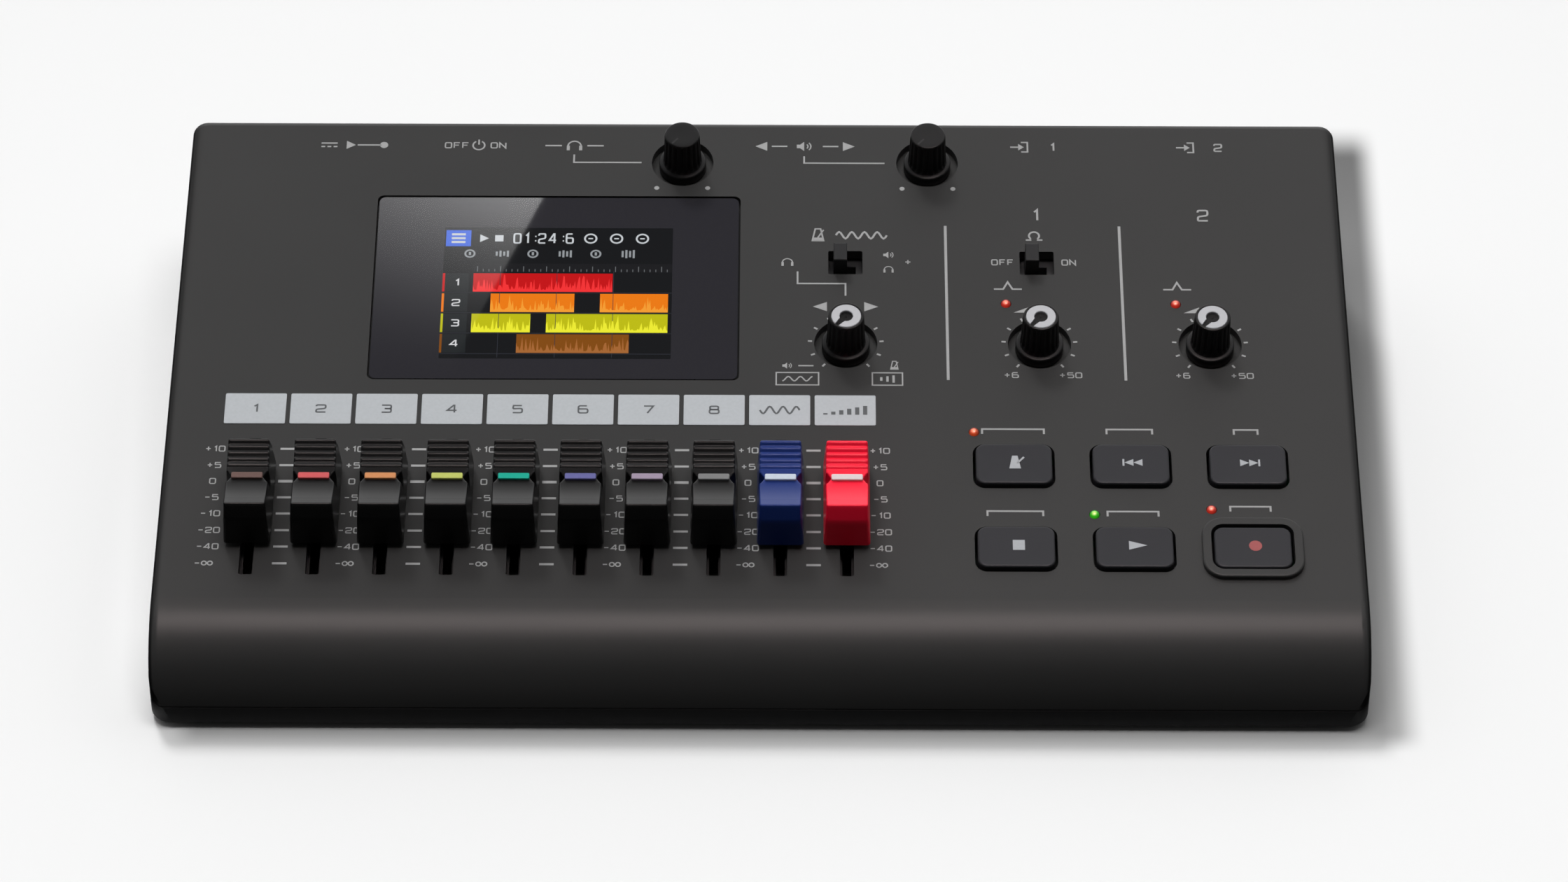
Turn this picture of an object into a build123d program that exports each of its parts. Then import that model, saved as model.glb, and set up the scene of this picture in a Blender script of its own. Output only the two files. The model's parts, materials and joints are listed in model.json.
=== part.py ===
"""Desktop eight-track recorder: a wedge-shaped case with ten faders, five knobs, six keys, a colour display
and a rear panel of sockets. Millimetres. X runs across the front, Y to the rear and Z up. The origin is the
middle of the footprint at the height of the table."""

from build123d import *
import math
import os

# Case
panel_tilt = 8.5
nose_straight = 1.1
stand_height = 1.0
tray_height = 4.5
seam_gap = 0.3
wall = 2.4
rear_corner_radius = 3.2
front_corner_radius = 4.4
edge_radius = 2.0
underside_radius = 0.8
lip_height = 1.6
lip_thickness = 1.2
lip_clearance = 0.25
overrun = 5.0
seat_gap = 0.1

# Boards under the panel and on the floor
board_thickness = 1.6
control_board_depth = 10.6
control_board_margin = 7.0
control_board_front = 2.0
control_strip_margin = 3.0
control_block_margin = 16.1
control_rear_margin = 6.6
tab_front_margin = 8.1
tab_rear_margin = 6.9
tab_side_margin = 9.0
control_post_radius = 2.2
control_post_inset = 3.0
control_post_rise = 4.0
control_post_gap = 14.9
main_board_lift = 3.1
main_board_left_margin = 25.0
main_board_right_margin = 13.0
main_board_rear_margin = 4.0
main_band_depth = 30.0
main_bay_gap = 4.5
main_block_right_margin = 4.8
main_block_front_margin = 46.0
main_post_radius = 2.6
main_post_inset = 7.0
main_post_pitch = 44.0

# Faders
fader_pitch = 13.8
fader_count = 10
fader_left_margin = 19.2
fader_front_margin = 5.95
fader_travel = 30.0
slot_width = 2.9
slot_end_clearance = 1.05
slot_corner = 0.5
fader_frame_end = 4.0
fader_frame_width = 8.6
fader_frame_depth = 7.1
fader_frame_wall = 0.9
fader_frame_slot = 1.9
carriage_length = 7.0
carriage_width = 6.2
carriage_height = 3.0
carriage_clearance = 0.3
lever_width = 4.0
lever_thickness = 1.2
lever_tip_chamfer = 0.5
lever_reach = 7.2
cap_foot_length = 21.9
cap_crest_length = 17.3
cap_shoulder_length = 20.4
cap_foot_width = 9.7
cap_crest_width = 8.5
cap_foot_lift = 1.3
cap_shoulder_lift = 8.3
cap_crest_lift = 11.8
saddle_depth = 2.0
crest_radius = 0.7
cap_corner_radius = 0.6
waist_depth = 1.0
waist_length = 3.2
rib_count = 5
rib_pitch = 1.2
rib_start = 2.6
rib_groove_width = 0.5
rib_groove_depth = 0.35
cap_wall = 1.2
cap_hollow_height = 5.2
cap_boss_length = 7.0
cap_boss_width = 4.2
lever_socket_clearance = 0.06

# Knobs and their pots
knob_row_rise = 10.3
gain_knob_offset = 6.2
gain_column_pitch = 36.4
volume_row_gap = 9.8
volume_rear_margin = 12.74
phones_knob_offset = 35.5
output_knob_offset = 18.0
well_radius = 6.75
well_depth = 2.0
well_floor = 1.5
well_rim = 1.5
spindle_hole_clearance = 0.6
skirt_radius = 5.1
skirt_sink = 1.8
skirt_lift = 0.4
skirt_chamfer = 0.4
barrel_foot_radius = 4.15
barrel_top_radius = 3.8
knob_lift = 9.2
knob_chamfer = 0.35
flute_count = 18
flute_radius = 0.42
flute_axis_gap = 0.1
spindle_radius = 3.0
spindle_clearance = 0.05
spindle_lift = 6.0
spindle_sink = 6.4
spindle_flat = 0.6
knob_bore_lift = 6.3
pot_width = 9.8
pot_length = 11.0
pot_height = 5.9
pot_bush_radius = 3.9
knob_rest_angle = 140.0
insert_radius = 3.2
insert_thickness = 0.6
insert_clearance = 0.05
insert_eye_radius = 1.45
pointer_width = 1.0
mark_width = 0.6
mark_depth = 0.3
mark_start = 0.6

# Keys
key_offset = 35.1
key_pitch_u = 24.5
key_right_margin = 23.5
key_row_drop = 33.4
key_row_pitch = 22.0
key_width = 16.0
key_length = 10.6
key_corner = 2.0
key_gap = 0.6
key_lift = 1.0
key_edge_radius = 0.35
key_flange = 1.0
key_flange_thickness = 0.8
key_flange_gap = 0.3
key_travel = 1.1
key_post_radius = 2.0
key_post_clearance = 0.3
key_stop_spare = 0.1
ring_width = 1.9
ring_lift = 1.2
ring_edge_radius = 0.45
mat_thickness = 1.0
mat_collar_height = 1.6
mat_collar_wall = 1.1
mat_margin = 8.0

# Small slide switches on the panel
toggle_rise = 22.8
toggle_opening_width = 7.4
toggle_opening_length = 6.6
toggle_opening_corner = 0.4
toggle_travel = 2.2
toggle_knob_width = 2.9
toggle_knob_length = 4.9
toggle_knob_lift = 3.8
toggle_knob_edge = 0.3
toggle_neck_width = 1.8
toggle_neck_length = 2.4
toggle_neck_clearance = 0.3
toggle_neck_sink = 2.2
toggle_body_width = 10.6
toggle_body_length = 8.6
toggle_floor_depth = 3.2

# Indicator lights, placed from the knob or key that they serve
light_radius = 1.05
light_dome_radius = 0.84
light_hole_clearance = 0.1
light_lift = 0.75
peak_light_offset = (-6.9, 11.3)
click_light_offset = (-8.2, 9.2)
play_light_offset = (-8.0, 9.2)
record_light_offset = (-8.1, 10.6)

# Display
label_band = 16.25
balance_knob_gap = 22.7
window_side_border = 9.5
window_end_border = 4.7
window_corner = 1.4
window_gap = 0.35
window_thickness = 1.5
window_sink = 0.15
window_tape = 0.25
window_gate_clearance = 2.5
window_frame_wall = 1.6
window_frame_depth = 3.4
module_shift = (0.2, -0.8)
module_width = 60.0
module_length = 42.6
module_thickness = 3.6

# Rear sockets
phones_jack_gap = 20.9
line_jack_gap = 39.8
line_jack_pitch = 22.0
jack_width = 16.0
jack_height = 14.0
jack_depth = 24.0
jack_collar_radius = 5.3
jack_collar_clearance = 0.25
jack_bore_radius = 3.2
jack_bore_depth = 20.0
jack_mouth_chamfer = 0.5
socket_sink = 0.3
combo_width = 24.4
combo_roof_gap = 1.735
combo_depth = 26.0
combo_collar_radius = 11.4
combo_channel_outer = 9.7
combo_channel_inner = 7.9
combo_channel_depth = 13.0
combo_insert_sink = 2.2
combo_mouth_chamfer = 0.6
combo_pin_radius = 1.3
combo_pin_circle = 5.5
combo_pin_depth = 9.0
combo_pin_count = 3
usb_side_margin = 35.1
usb_width = 8.94
usb_height = 3.26
usb_depth = 8.0
usb_shell = 0.35
usb_clearance = 0.3
usb_back = 1.0
usb_tongue_width = 6.7
usb_tongue_height = 0.7
usb_tongue_depth = 5.6

# Power slide switch
power_gap = 28.0
power_rise = 3.2
power_recess_width = 14.0
power_recess_height = 6.2
power_recess_depth = 1.3
power_recess_corner = 1.2
power_slot_width = 9.0
power_slot_height = 2.8
power_travel = 4.0
power_knob_width = 4.4
power_knob_height = 2.2
power_body_width = 13.0
power_body_depth = 5.5
power_body_height = 6.0
power_knob_sink = 0.2
power_rib_width = 0.44
power_rib_pitch = 1.1

# Memory card
card_front_margin = 14.0
card_width = 11.0
card_length = 15.0
card_thickness = 1.0
card_sink = 0.4
card_clearance = 0.25
card_socket_width = 14.0
card_socket_length = 14.6
card_socket_height = 2.0
card_notch_width = 15.0
card_notch_height = 4.4
card_notch_depth = 1.0
card_notch_corner = 1.0

# Battery bay
cell_radius = 7.25
cell_length = 50.5
cell_nub_radius = 2.75
cell_nub_length = 1.0
cell_clearance = 0.35
contact_thickness = 0.5
contact_spring_length = 1.6
contact_spring_radius = 3.0
contact_spring_tip = 1.8
contact_width = 10.0
contact_height = 11.0
bay_side_margin = 14.05
bay_band_gap = 11.3
bay_wall = 1.5
door_thickness = 1.9
door_lap = 1.4
door_clearance = 0.2
door_corner = 1.0
door_grip_count = 3
door_grip_width = 1.0
door_grip_length = 14.0
door_grip_depth = 0.5
door_grip_pitch = 2.2
door_grip_inset = 5.0

# Screws and feet
screw_side_margin = 8.0
screw_front_margin = 10.5
screw_rear_margin = 8.0
boss_radius = 3.3
pilot_radius = 1.35
screw_radius = 1.3
screw_length = 11.0
screw_head_radius = 2.7
screw_head_height = 1.0
screw_head_clearance = 0.2
screw_drive_width = 0.6
screw_drive_length = 3.2
screw_drive_depth = 0.5
pilot_depth = 12.0
foot_radius = 6.0
foot_recess = 0.8
foot_clearance = 0.2
foot_edge_radius = 0.5
foot_side_margin = 21.0
foot_front_margin = 18.0
foot_rear_margin = 19.0

# The panel's layout: rows up the slope from its front crest, then columns across from the left side
tilt = math.radians(panel_tilt)
tilt_sin = math.sin(tilt)
tilt_cos = math.cos(tilt)
tilt_tan = math.tan(tilt)
slot_length = fader_travel + lever_width + 2 * slot_end_clearance
fader_frame_length = fader_travel + lever_width + 2 * fader_frame_end
fader_mid_v = fader_front_margin + slot_length / 2
window_width = module_width + 2 * window_side_border
window_length = module_length + 2 * window_end_border
window_foot_v = fader_mid_v + slot_length / 2 + label_band
window_v = window_foot_v + window_length / 2
knob_row_v = window_foot_v + knob_row_rise
toggle_v = knob_row_v + toggle_rise
key_upper_v = knob_row_v - key_row_drop
key_lower_v = key_upper_v - key_row_pitch
volume_row_v = window_foot_v + window_length + volume_row_gap
panel_length = volume_row_v + volume_rear_margin
fader_row_width = fader_pitch * (fader_count - 1)
case_width = fader_left_margin + fader_row_width + key_offset + 2 * key_pitch_u + key_right_margin
half_width = case_width / 2
master_fader_u = fader_left_margin + fader_row_width - half_width
fader_us = [master_fader_u - fader_pitch * (fader_count - 1 - k) for k in range(fader_count)]
fader_names = [str(k + 1) for k in range(fader_count - 2)] + ["effect", "master"]
balance_knob_u = master_fader_u
window_u = balance_knob_u - balance_knob_gap - window_width / 2
module_u = window_u + module_shift[0]
module_v = window_v + module_shift[1]
key_us = [master_fader_u + key_offset + key_pitch_u * k for k in range(3)]
gain_us = [key_us[0] + gain_knob_offset, key_us[0] + gain_knob_offset + gain_column_pitch]
phones_knob_u = master_fader_u - phones_knob_offset
output_knob_u = master_fader_u + output_knob_offset
knob_places = {
    "phones_knob": (phones_knob_u, volume_row_v),
    "output_knob": (output_knob_u, volume_row_v),
    "balance_knob": (balance_knob_u, knob_row_v),
    "gain_knob_1": (gain_us[0], knob_row_v),
    "gain_knob_2": (gain_us[1], knob_row_v),
}
pointer_capped = ["balance_knob", "gain_knob_1", "gain_knob_2"]
key_places = {
    "click_key": (key_us[0], key_upper_v),
    "rewind_key": (key_us[1], key_upper_v),
    "forward_key": (key_us[2], key_upper_v),
    "stop_key": (key_us[0], key_lower_v),
    "play_key": (key_us[1], key_lower_v),
    "record_key": (key_us[2], key_lower_v),
}
toggle_places = {"click_toggle": (balance_knob_u, toggle_v), "hi_z_toggle": (gain_us[0], toggle_v)}
light_carriers = [
    (knob_places["gain_knob_1"], peak_light_offset),
    (knob_places["gain_knob_2"], peak_light_offset),
    (key_places["click_key"], click_light_offset),
    (key_places["play_key"], play_light_offset),
    (key_places["record_key"], record_light_offset),
]
light_places = [(u + right, v + up) for (u, v), (right, up) in light_carriers]

# The case round it, as tall as the combination sockets need
floor_top = stand_height + wall
main_board_z = floor_top + main_board_lift
main_board_top = main_board_z + board_thickness
combo_roof_z = main_board_top + seat_gap + combo_width + combo_roof_gap
combo_front_reach = panel_length * tilt_cos - wall - seat_gap - combo_depth
crest_z = combo_roof_z + wall / tilt_cos - combo_front_reach * tilt_tan
nose_z = stand_height + nose_straight
nose_radius = (crest_z - nose_z) / tilt_cos
case_depth = nose_radius * (1 - tilt_sin) + panel_length * tilt_cos
front_y = -case_depth / 2
rear_y = case_depth / 2
rear_inner_y = rear_y - wall
seam_z = stand_height + tray_height
nose_y = front_y + nose_radius
crest_y = nose_y - nose_radius * tilt_sin
rear_z = crest_z + panel_length * tilt_sin
panel_plane = Plane(origin=(0, crest_y, crest_z), x_dir=(1, 0, 0), z_dir=(0, -tilt_sin, tilt_cos))

# What stands on the floor of the case and at its rear wall
jack_z = main_board_top + seat_gap + jack_height / 2
combo_z = main_board_top + seat_gap + combo_width / 2
usb_z = main_board_top + seat_gap + usb_height / 2
power_z = main_board_top + power_rise
card_z = main_board_top + seat_gap + card_socket_height / 2
usb_x = usb_side_margin - half_width
power_x = usb_x + power_gap
phones_jack_x = power_x + phones_jack_gap
line_left_x = phones_jack_x + line_jack_gap
line_right_x = line_left_x + line_jack_pitch
jack_xs = [phones_jack_x, line_left_x, line_right_x]
combo_xs = gain_us
main_board_left = main_board_left_margin - half_width
main_board_right = half_width - main_board_right_margin
main_board_rear = rear_y - main_board_rear_margin
main_band_front = main_board_rear - main_band_depth
cell_pitch = 2 * (cell_radius + cell_clearance)
cell_z = stand_height + door_thickness + 2 * cell_clearance + cell_radius
bay_length = 2 * (cell_length + contact_thickness + contact_spring_length + cell_clearance)
bay_width = 2 * cell_pitch
bay_roof_z = cell_z + cell_radius + cell_clearance
bay_x = bay_side_margin - half_width + bay_length / 2
bay_y = main_band_front - bay_band_gap - bay_wall - bay_width / 2
main_block_left = bay_x + bay_length / 2 + bay_wall + main_bay_gap
main_block_right = half_width - main_block_right_margin
main_block_front = front_y + main_block_front_margin
card_y = main_block_front + card_front_margin
block_post_x = main_block_left + main_post_inset
block_post_ys = [main_block_front + main_post_inset, main_band_front - main_post_inset]
main_posts = [(block_post_x + 2 * main_post_pitch * k, y) for k in range(2) for y in block_post_ys]
band_post_x = main_board_left + main_post_inset
main_posts += [(band_post_x + main_post_pitch * k, main_band_front + main_post_inset) for k in range(2)]
screw_x = half_width - screw_side_margin
screw_front_y = front_y + screw_front_margin
screw_rear_y = rear_y - screw_rear_margin
screw_spots = [(x, screw_front_y) for x in (-screw_x, 0, screw_x)]
screw_spots += [(x, screw_rear_y) for x in (-screw_x, (usb_x + power_x) / 2, screw_x)]
foot_x = half_width - foot_side_margin
foot_ys = [front_y + foot_front_margin, rear_y - foot_rear_margin]
foot_spots = [(x, y) for y in foot_ys for x in (-foot_x, foot_x)]


def on_panel(u, v, w=0.0):
    """Location on the sloping panel: u to the right, v up the slope from its front crest, w out of it."""
    return panel_plane.location * Pos(u, v, w)


def plate(width, length, corner, thickness):
    """Rounded plate whose lower face is at zero."""
    return extrude(RectangleRounded(width, length, corner), thickness)


def block(width, length, height):
    """Box that stands on zero, centred in plan."""
    return Pos(0, 0, height / 2) * Box(width, length, height)


def shaft(radius, low, high):
    """Upright round bar from low to high."""
    return Pos(0, 0, (low + high) / 2) * Cylinder(radius, high - low)


def rear_shaft(radius, x, z, low_y, high_y):
    """Round bar along Y from low_y to high_y."""
    middle = Location((x, (low_y + high_y) / 2, z), (90, 0, 0))
    return middle * Cylinder(radius, high_y - low_y)


def box_between(low, high):
    """Box between two corners."""
    size = [b - a for a, b in zip(low, high)]
    middle = [(a + b) / 2 for a, b in zip(low, high)]
    return Pos(*middle) * Box(*size)


# Case form
def case_prism(inset):
    """The side profile, taken in by inset, carried across: flat front, round nose, sloping panel."""
    radius = nose_radius - inset
    front = front_y + inset
    rear = rear_y - inset
    low = stand_height
    crest = (nose_y - radius * tilt_sin, nose_z + radius * tilt_cos)
    rear_top = (rear, crest[1] + (rear - crest[0]) * tilt_tan)
    profile = Curve() + [
        Line((front, low), (front, nose_z)),
        CenterArc((nose_y, nose_z), radius, 90 + panel_tilt, 90 - panel_tilt),
        Line(crest, rear_top),
        Line(rear_top, (rear, low)),
        Line((rear, low), (front, low)),
    ]
    return extrude(make_face(Plane.YZ * profile), half_width - inset, both=True)


def front_corner_prism():
    """Upright prism over the footprint with its two front corners rounded."""
    outline = Rectangle(case_width, case_depth)
    outline = fillet(outline.vertices().group_by(Axis.Y)[0], front_corner_radius)
    return extrude(outline, rear_z + overrun)


def rear_rounded(form, radius):
    """The form with its two upright rear edges rounded."""
    return fillet(form.edges().filter_by(Axis.Z).group_by(Axis.Y)[-1], radius)


def outer_form():
    """The whole closed case with its edges rounded."""
    form = rear_rounded(case_prism(0), rear_corner_radius)
    panel = form.faces().sort_by(Axis.Z)[-1]
    nose = form.faces().filter_by(GeomType.CYLINDER).sort_by(Axis.Y)[0]
    front = form.faces().filter_by(Axis.Y).sort_by(Axis.Y)[0]
    rim = list(panel.edges().sort_by(Axis.Y)[1:])
    rim += list(nose.edges().filter_by(GeomType.CIRCLE))
    rim += list(front.edges().filter_by(Axis.Z))
    form = fillet(rim, edge_radius)
    return form & front_corner_prism()


def inner_form(inset):
    """The room inside the case, taken in by inset."""
    return rear_rounded(case_prism(inset), rear_corner_radius - inset / 2)


def band(low, high):
    """Slab that spans the footprint between two heights."""
    reach = case_width
    return box_between((-reach, -reach, low), (reach, reach, high))


# Openings in the top cover
def panel_cutters():
    """Everything that is cut through or sunk into the sloping panel."""
    through = wall + window_frame_depth
    tools = []
    slot = plate(slot_width, slot_length, slot_corner, through * 2)
    tools += [on_panel(u, fader_mid_v, -through) * slot for u in fader_us]
    for u, v in knob_places.values():
        well = shaft(well_radius, -well_depth, overrun)
        hole = shaft(spindle_radius + spindle_hole_clearance, -well_depth - well_floor - overrun, 0)
        tools.append(on_panel(u, v) * (well + hole))
    for u, v in key_places.values():
        opening = plate(key_width + 2 * key_gap, key_length + 2 * key_gap, key_corner + key_gap, through * 2)
        tools.append(on_panel(u, v, -through) * opening)
    for u, v in toggle_places.values():
        opening = plate(toggle_opening_width, toggle_opening_length, toggle_opening_corner, through * 2)
        tools.append(on_panel(u, v, -through) * opening)
    for u, v in light_places:
        tools.append(on_panel(u, v) * shaft(light_radius + light_hole_clearance, -through, through))
    pocket_depth = window_sink + window_thickness + window_tape
    pocket = plate(window_width, window_length, window_corner, pocket_depth + overrun)
    tools.append(on_panel(window_u, window_v, -pocket_depth) * pocket)
    gap = 2 * window_gate_clearance
    light_gate = plate(module_width + gap, module_length + gap, window_corner, through * 2)
    tools.append(on_panel(module_u, module_v, -through - overrun) * light_gate)
    return tools


def panel_thickening():
    """Rings and frames moulded under the panel round the wells and the display pocket."""
    depth = well_depth + well_floor
    pieces = []
    for u, v in knob_places.values():
        pieces.append(on_panel(u, v) * shaft(well_radius + well_rim, -depth, -wall / 2))
    frame_height = window_frame_depth - wall / 2
    margin = 2 * window_frame_wall
    frame_corner = window_corner + window_frame_wall
    frame = plate(window_width + margin, window_length + margin, frame_corner, frame_height)
    pieces.append(on_panel(window_u, window_v, -window_frame_depth) * frame)
    return pieces


def record_ring():
    """Raised guard round the record key."""
    u, v = key_places["record_key"]
    inner_width = key_width + 2 * key_gap
    inner_length = key_length + 2 * key_gap
    outer_corner = key_corner + key_gap + ring_width
    height = ring_lift + wall / 2
    outer = plate(inner_width + 2 * ring_width, inner_length + 2 * ring_width, outer_corner, height)
    outer = fillet(outer.edges().group_by(Axis.Z)[-1], ring_edge_radius)
    opening = plate(inner_width, inner_length, key_corner + key_gap, ring_lift + wall)
    return on_panel(u, v, -wall / 2) * (outer - opening)


def rear_cutters():
    """Openings in the rear wall and the slot for the memory card in the right wall."""
    low = rear_inner_y - overrun
    high = rear_y + overrun
    jack_hole = jack_collar_radius + jack_collar_clearance
    combo_hole = combo_collar_radius + jack_collar_clearance
    tools = [rear_shaft(jack_hole, x, jack_z, low, high) for x in jack_xs]
    tools += [rear_shaft(combo_hole, x, combo_z, low, high) for x in combo_xs]
    rear_plane = Plane(origin=(0, rear_y, 0), x_dir=(-1, 0, 0), z_dir=(0, 1, 0))
    port_width = usb_width + 2 * usb_clearance
    port_height = usb_height + 2 * usb_clearance
    port = SlotOverall(port_width, port_height)
    tools.append(rear_plane * Pos(-usb_x, usb_z, -2 * wall) * extrude(port, 3 * wall))
    slot = Rectangle(power_slot_width, power_slot_height)
    tools.append(rear_plane * Pos(-power_x, power_z, -2 * wall) * extrude(slot, 3 * wall))
    recess = RectangleRounded(power_recess_width, power_recess_height, power_recess_corner)
    tools.append(rear_plane * Pos(-power_x, power_z, -power_recess_depth) * extrude(recess, 2 * wall))
    side_plane = Plane(origin=(half_width, 0, 0), x_dir=(0, 1, 0), z_dir=(1, 0, 0))
    card_slot = Rectangle(card_width + 2 * card_clearance, card_thickness + 2 * card_clearance)
    tools.append(side_plane * Pos(card_y, card_z, -2 * wall) * extrude(card_slot, 3 * wall))
    notch = RectangleRounded(card_notch_width, card_notch_height, card_notch_corner)
    tools.append(side_plane * Pos(card_y, card_z, -card_notch_depth) * extrude(notch, 2 * wall))
    return tools


def top_cover():
    """Moulded upper shell: panel, nose, side walls and rear wall in one."""
    low = seam_z + seam_gap
    high = rear_z + overrun
    shell = (outer_form() & band(low, high)) - (inner_form(wall) & band(-overrun, high))
    bulk = inner_form(wall / 2)
    boss_low = floor_top + seam_gap
    bosses = [Pos(x, y) * shaft(boss_radius, boss_low, high) for x, y in screw_spots]
    post = shaft(control_post_radius, -control_board_depth + seat_gap, -wall / 2)
    posts = [on_panel(u, v) * post for u, v in control_posts()]
    shell += [boss & bulk for boss in bosses]
    shell += posts
    shell += panel_thickening()
    shell -= panel_cutters()
    shell += record_ring()
    shell -= rear_cutters()
    shell -= [Pos(x, y) * shaft(pilot_radius, 0, boss_low + pilot_depth) for x, y in screw_spots]
    return shell


def bottom_cover():
    """Shallow tray with an inner lip, the battery bay, board posts and seats for screws and feet."""
    tray = outer_form() & band(0, seam_z)
    tray = fillet(tray.edges().group_by(Axis.Z)[0], underside_radius)
    tray -= inner_form(wall) & band(floor_top, seam_z + overrun)
    lip_inset = wall + lip_clearance
    lip_top = seam_z + lip_height
    lip = inner_form(lip_inset) - inner_form(lip_inset + lip_thickness)
    lip &= band(floor_top - wall / 2, lip_top)
    lip -= [box_between((x - boss_radius, y - boss_radius, 0), (x + boss_radius, y + boss_radius, lip_top))
            for x, y in boss_clearances()]
    lip -= box_between((-half_width, rear_inner_y - overrun, seam_z), (half_width, rear_y, lip_top))
    tray += lip
    tray += bay_shell()
    post = shaft(main_post_radius, floor_top - wall / 2, main_board_z - seat_gap)
    tray += [Pos(x, y) * post for x, y in main_posts]
    tray -= bay_cutters()
    head_top = stand_height + screw_head_height + screw_head_clearance
    for x, y in screw_spots:
        tray -= Pos(x, y) * shaft(screw_head_radius + screw_head_clearance, 0, head_top)
        tray -= Pos(x, y) * shaft(screw_radius + screw_head_clearance, 0, floor_top + overrun)
    foot_seat = shaft(foot_radius + foot_clearance, 0, stand_height + foot_recess)
    return tray - [Pos(x, y) * foot_seat for x, y in foot_spots]


def boss_clearances():
    """Places where the lip is left out so that a boss can pass."""
    reach = boss_radius + lip_thickness + lip_clearance
    edge_x = half_width - wall - lip_clearance
    edge_y = case_depth / 2 - wall - lip_clearance
    return [(x, y) for x, y in screw_spots if abs(x) + reach > edge_x or abs(y) + reach > edge_y]


def bay_shell():
    """Walls and roof of the battery bay."""
    low = (bay_x - bay_length / 2 - bay_wall, bay_y - bay_width / 2 - bay_wall, stand_height + wall / 2)
    high = (bay_x + bay_length / 2 + bay_wall, bay_y + bay_width / 2 + bay_wall, bay_roof_z + bay_wall)
    return box_between(low, high)


def bay_cutters():
    """Room for the cells, and the pocket that the door closes."""
    room_low = (bay_x - bay_length / 2, bay_y - bay_width / 2, 0)
    room_high = (bay_x + bay_length / 2, bay_y + bay_width / 2, bay_roof_z)
    pocket_width = bay_length + 2 * (door_lap + door_clearance)
    pocket_length = bay_width + 2 * (door_lap + door_clearance)
    pocket_top = stand_height + door_thickness + door_clearance
    pocket = plate(pocket_width, pocket_length, door_corner + door_clearance, pocket_top)
    return [box_between(room_low, room_high), Pos(bay_x, bay_y) * pocket]


def battery_door():
    """Flat cover over the bay, with finger ribs sunk into its outer face."""
    door = plate(bay_length + 2 * door_lap, bay_width + 2 * door_lap, door_corner, door_thickness)
    grip_x = bay_length / 2 - door_grip_inset
    for k in range(door_grip_count):
        groove = block(door_grip_width, door_grip_length, door_grip_depth)
        door -= Pos(grip_x - k * door_grip_pitch, 0, 0) * groove
    return Pos(bay_x, bay_y, stand_height) * door


def battery_cells():
    """Four round cells, two in line in each of two rows."""
    cell = shaft(cell_radius, 0, cell_length - cell_nub_length)
    cell += shaft(cell_nub_radius, cell_length - cell_nub_length, cell_length)
    cells = []
    for row in (-1, 1):
        for place in (-1, 0):
            start = bay_x + place * cell_length
            y = bay_y + row * cell_pitch / 2
            turn = 90 if row > 0 else -90
            x = start if row > 0 else start + cell_length
            cells.append(Location((x, y, cell_z), (0, turn, 0)) * cell)
    return Compound(children=cells)


def battery_contacts():
    """Leaf plates at the ends of the bay; the plate at each negative end carries a coned spring."""
    pieces = []
    end_x = bay_length / 2 - contact_thickness / 2
    for side in (-1, 1):
        for row in (-1, 1):
            y = bay_y + row * cell_pitch / 2
            leaf = Box(contact_thickness, contact_width, contact_height)
            if side != row:
                cone = Cone(contact_spring_radius, contact_spring_tip, contact_spring_length)
                lift = (contact_thickness + contact_spring_length) / 2
                leaf += Location((-side * lift, 0, 0), (0, -90 * side, 0)) * cone
            pieces.append(Pos(bay_x + side * end_x, y, cell_z) * leaf)
    return Compound(children=pieces)


# Boards
def control_board_edges():
    """Left edge, right edge, rear of the fader strip and rear of the wide part, as u and v."""
    left = control_board_margin - half_width
    right = half_width - control_board_margin
    strip_rear = fader_mid_v + fader_frame_length / 2 + control_strip_margin
    return left, right, strip_rear, toggle_v + control_rear_margin


def control_posts():
    """Places of the posts that hold the board under the panel."""
    left, right, strip_rear, block_rear = control_board_edges()
    low = control_board_front + control_post_rise
    high = strip_rear - control_post_rise
    inner = master_fader_u + control_post_gap
    places = [(u, v) for u in (left + control_post_inset, inner) for v in (low, high)]
    key_mid_v = (key_upper_v + key_lower_v) / 2
    return places + [(right - control_post_inset, v) for v in (key_mid_v, block_rear - 2 * control_post_rise)]


def control_board():
    """Board that hangs under the panel and carries the faders, pots, keys and switches."""
    left, right, strip_rear, block_rear = control_board_edges()
    block_left = balance_knob_u - control_block_margin
    tab_left = phones_knob_u - tab_side_margin
    tab_right = output_knob_u + tab_side_margin
    tab_front = volume_row_v - tab_front_margin
    tab_rear = volume_row_v + tab_rear_margin
    outline = Polyline(
        (left, control_board_front), (right, control_board_front), (right, block_rear),
        (tab_right, block_rear), (tab_right, tab_rear), (tab_left, tab_rear), (tab_left, tab_front),
        (block_left, tab_front), (block_left, strip_rear), (left, strip_rear), close=True,
    )
    board = extrude(make_face(outline), board_thickness)
    return on_panel(0, 0, -control_board_depth - board_thickness) * board


def main_board():
    """Board on the floor of the case, cut out round the battery bay."""
    outline = Polyline(
        (main_block_left, main_block_front), (main_block_right, main_block_front),
        (main_block_right, main_band_front), (main_board_right, main_band_front),
        (main_board_right, main_board_rear), (main_board_left, main_board_rear),
        (main_board_left, main_band_front), (main_block_left, main_band_front), close=True,
    )
    board = Pos(0, 0, main_board_z) * extrude(make_face(outline), board_thickness)
    for x, y in screw_spots:
        board -= Pos(x, y) * shaft(boss_radius + 2 * screw_head_clearance, 0, rear_z)
    return board


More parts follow.
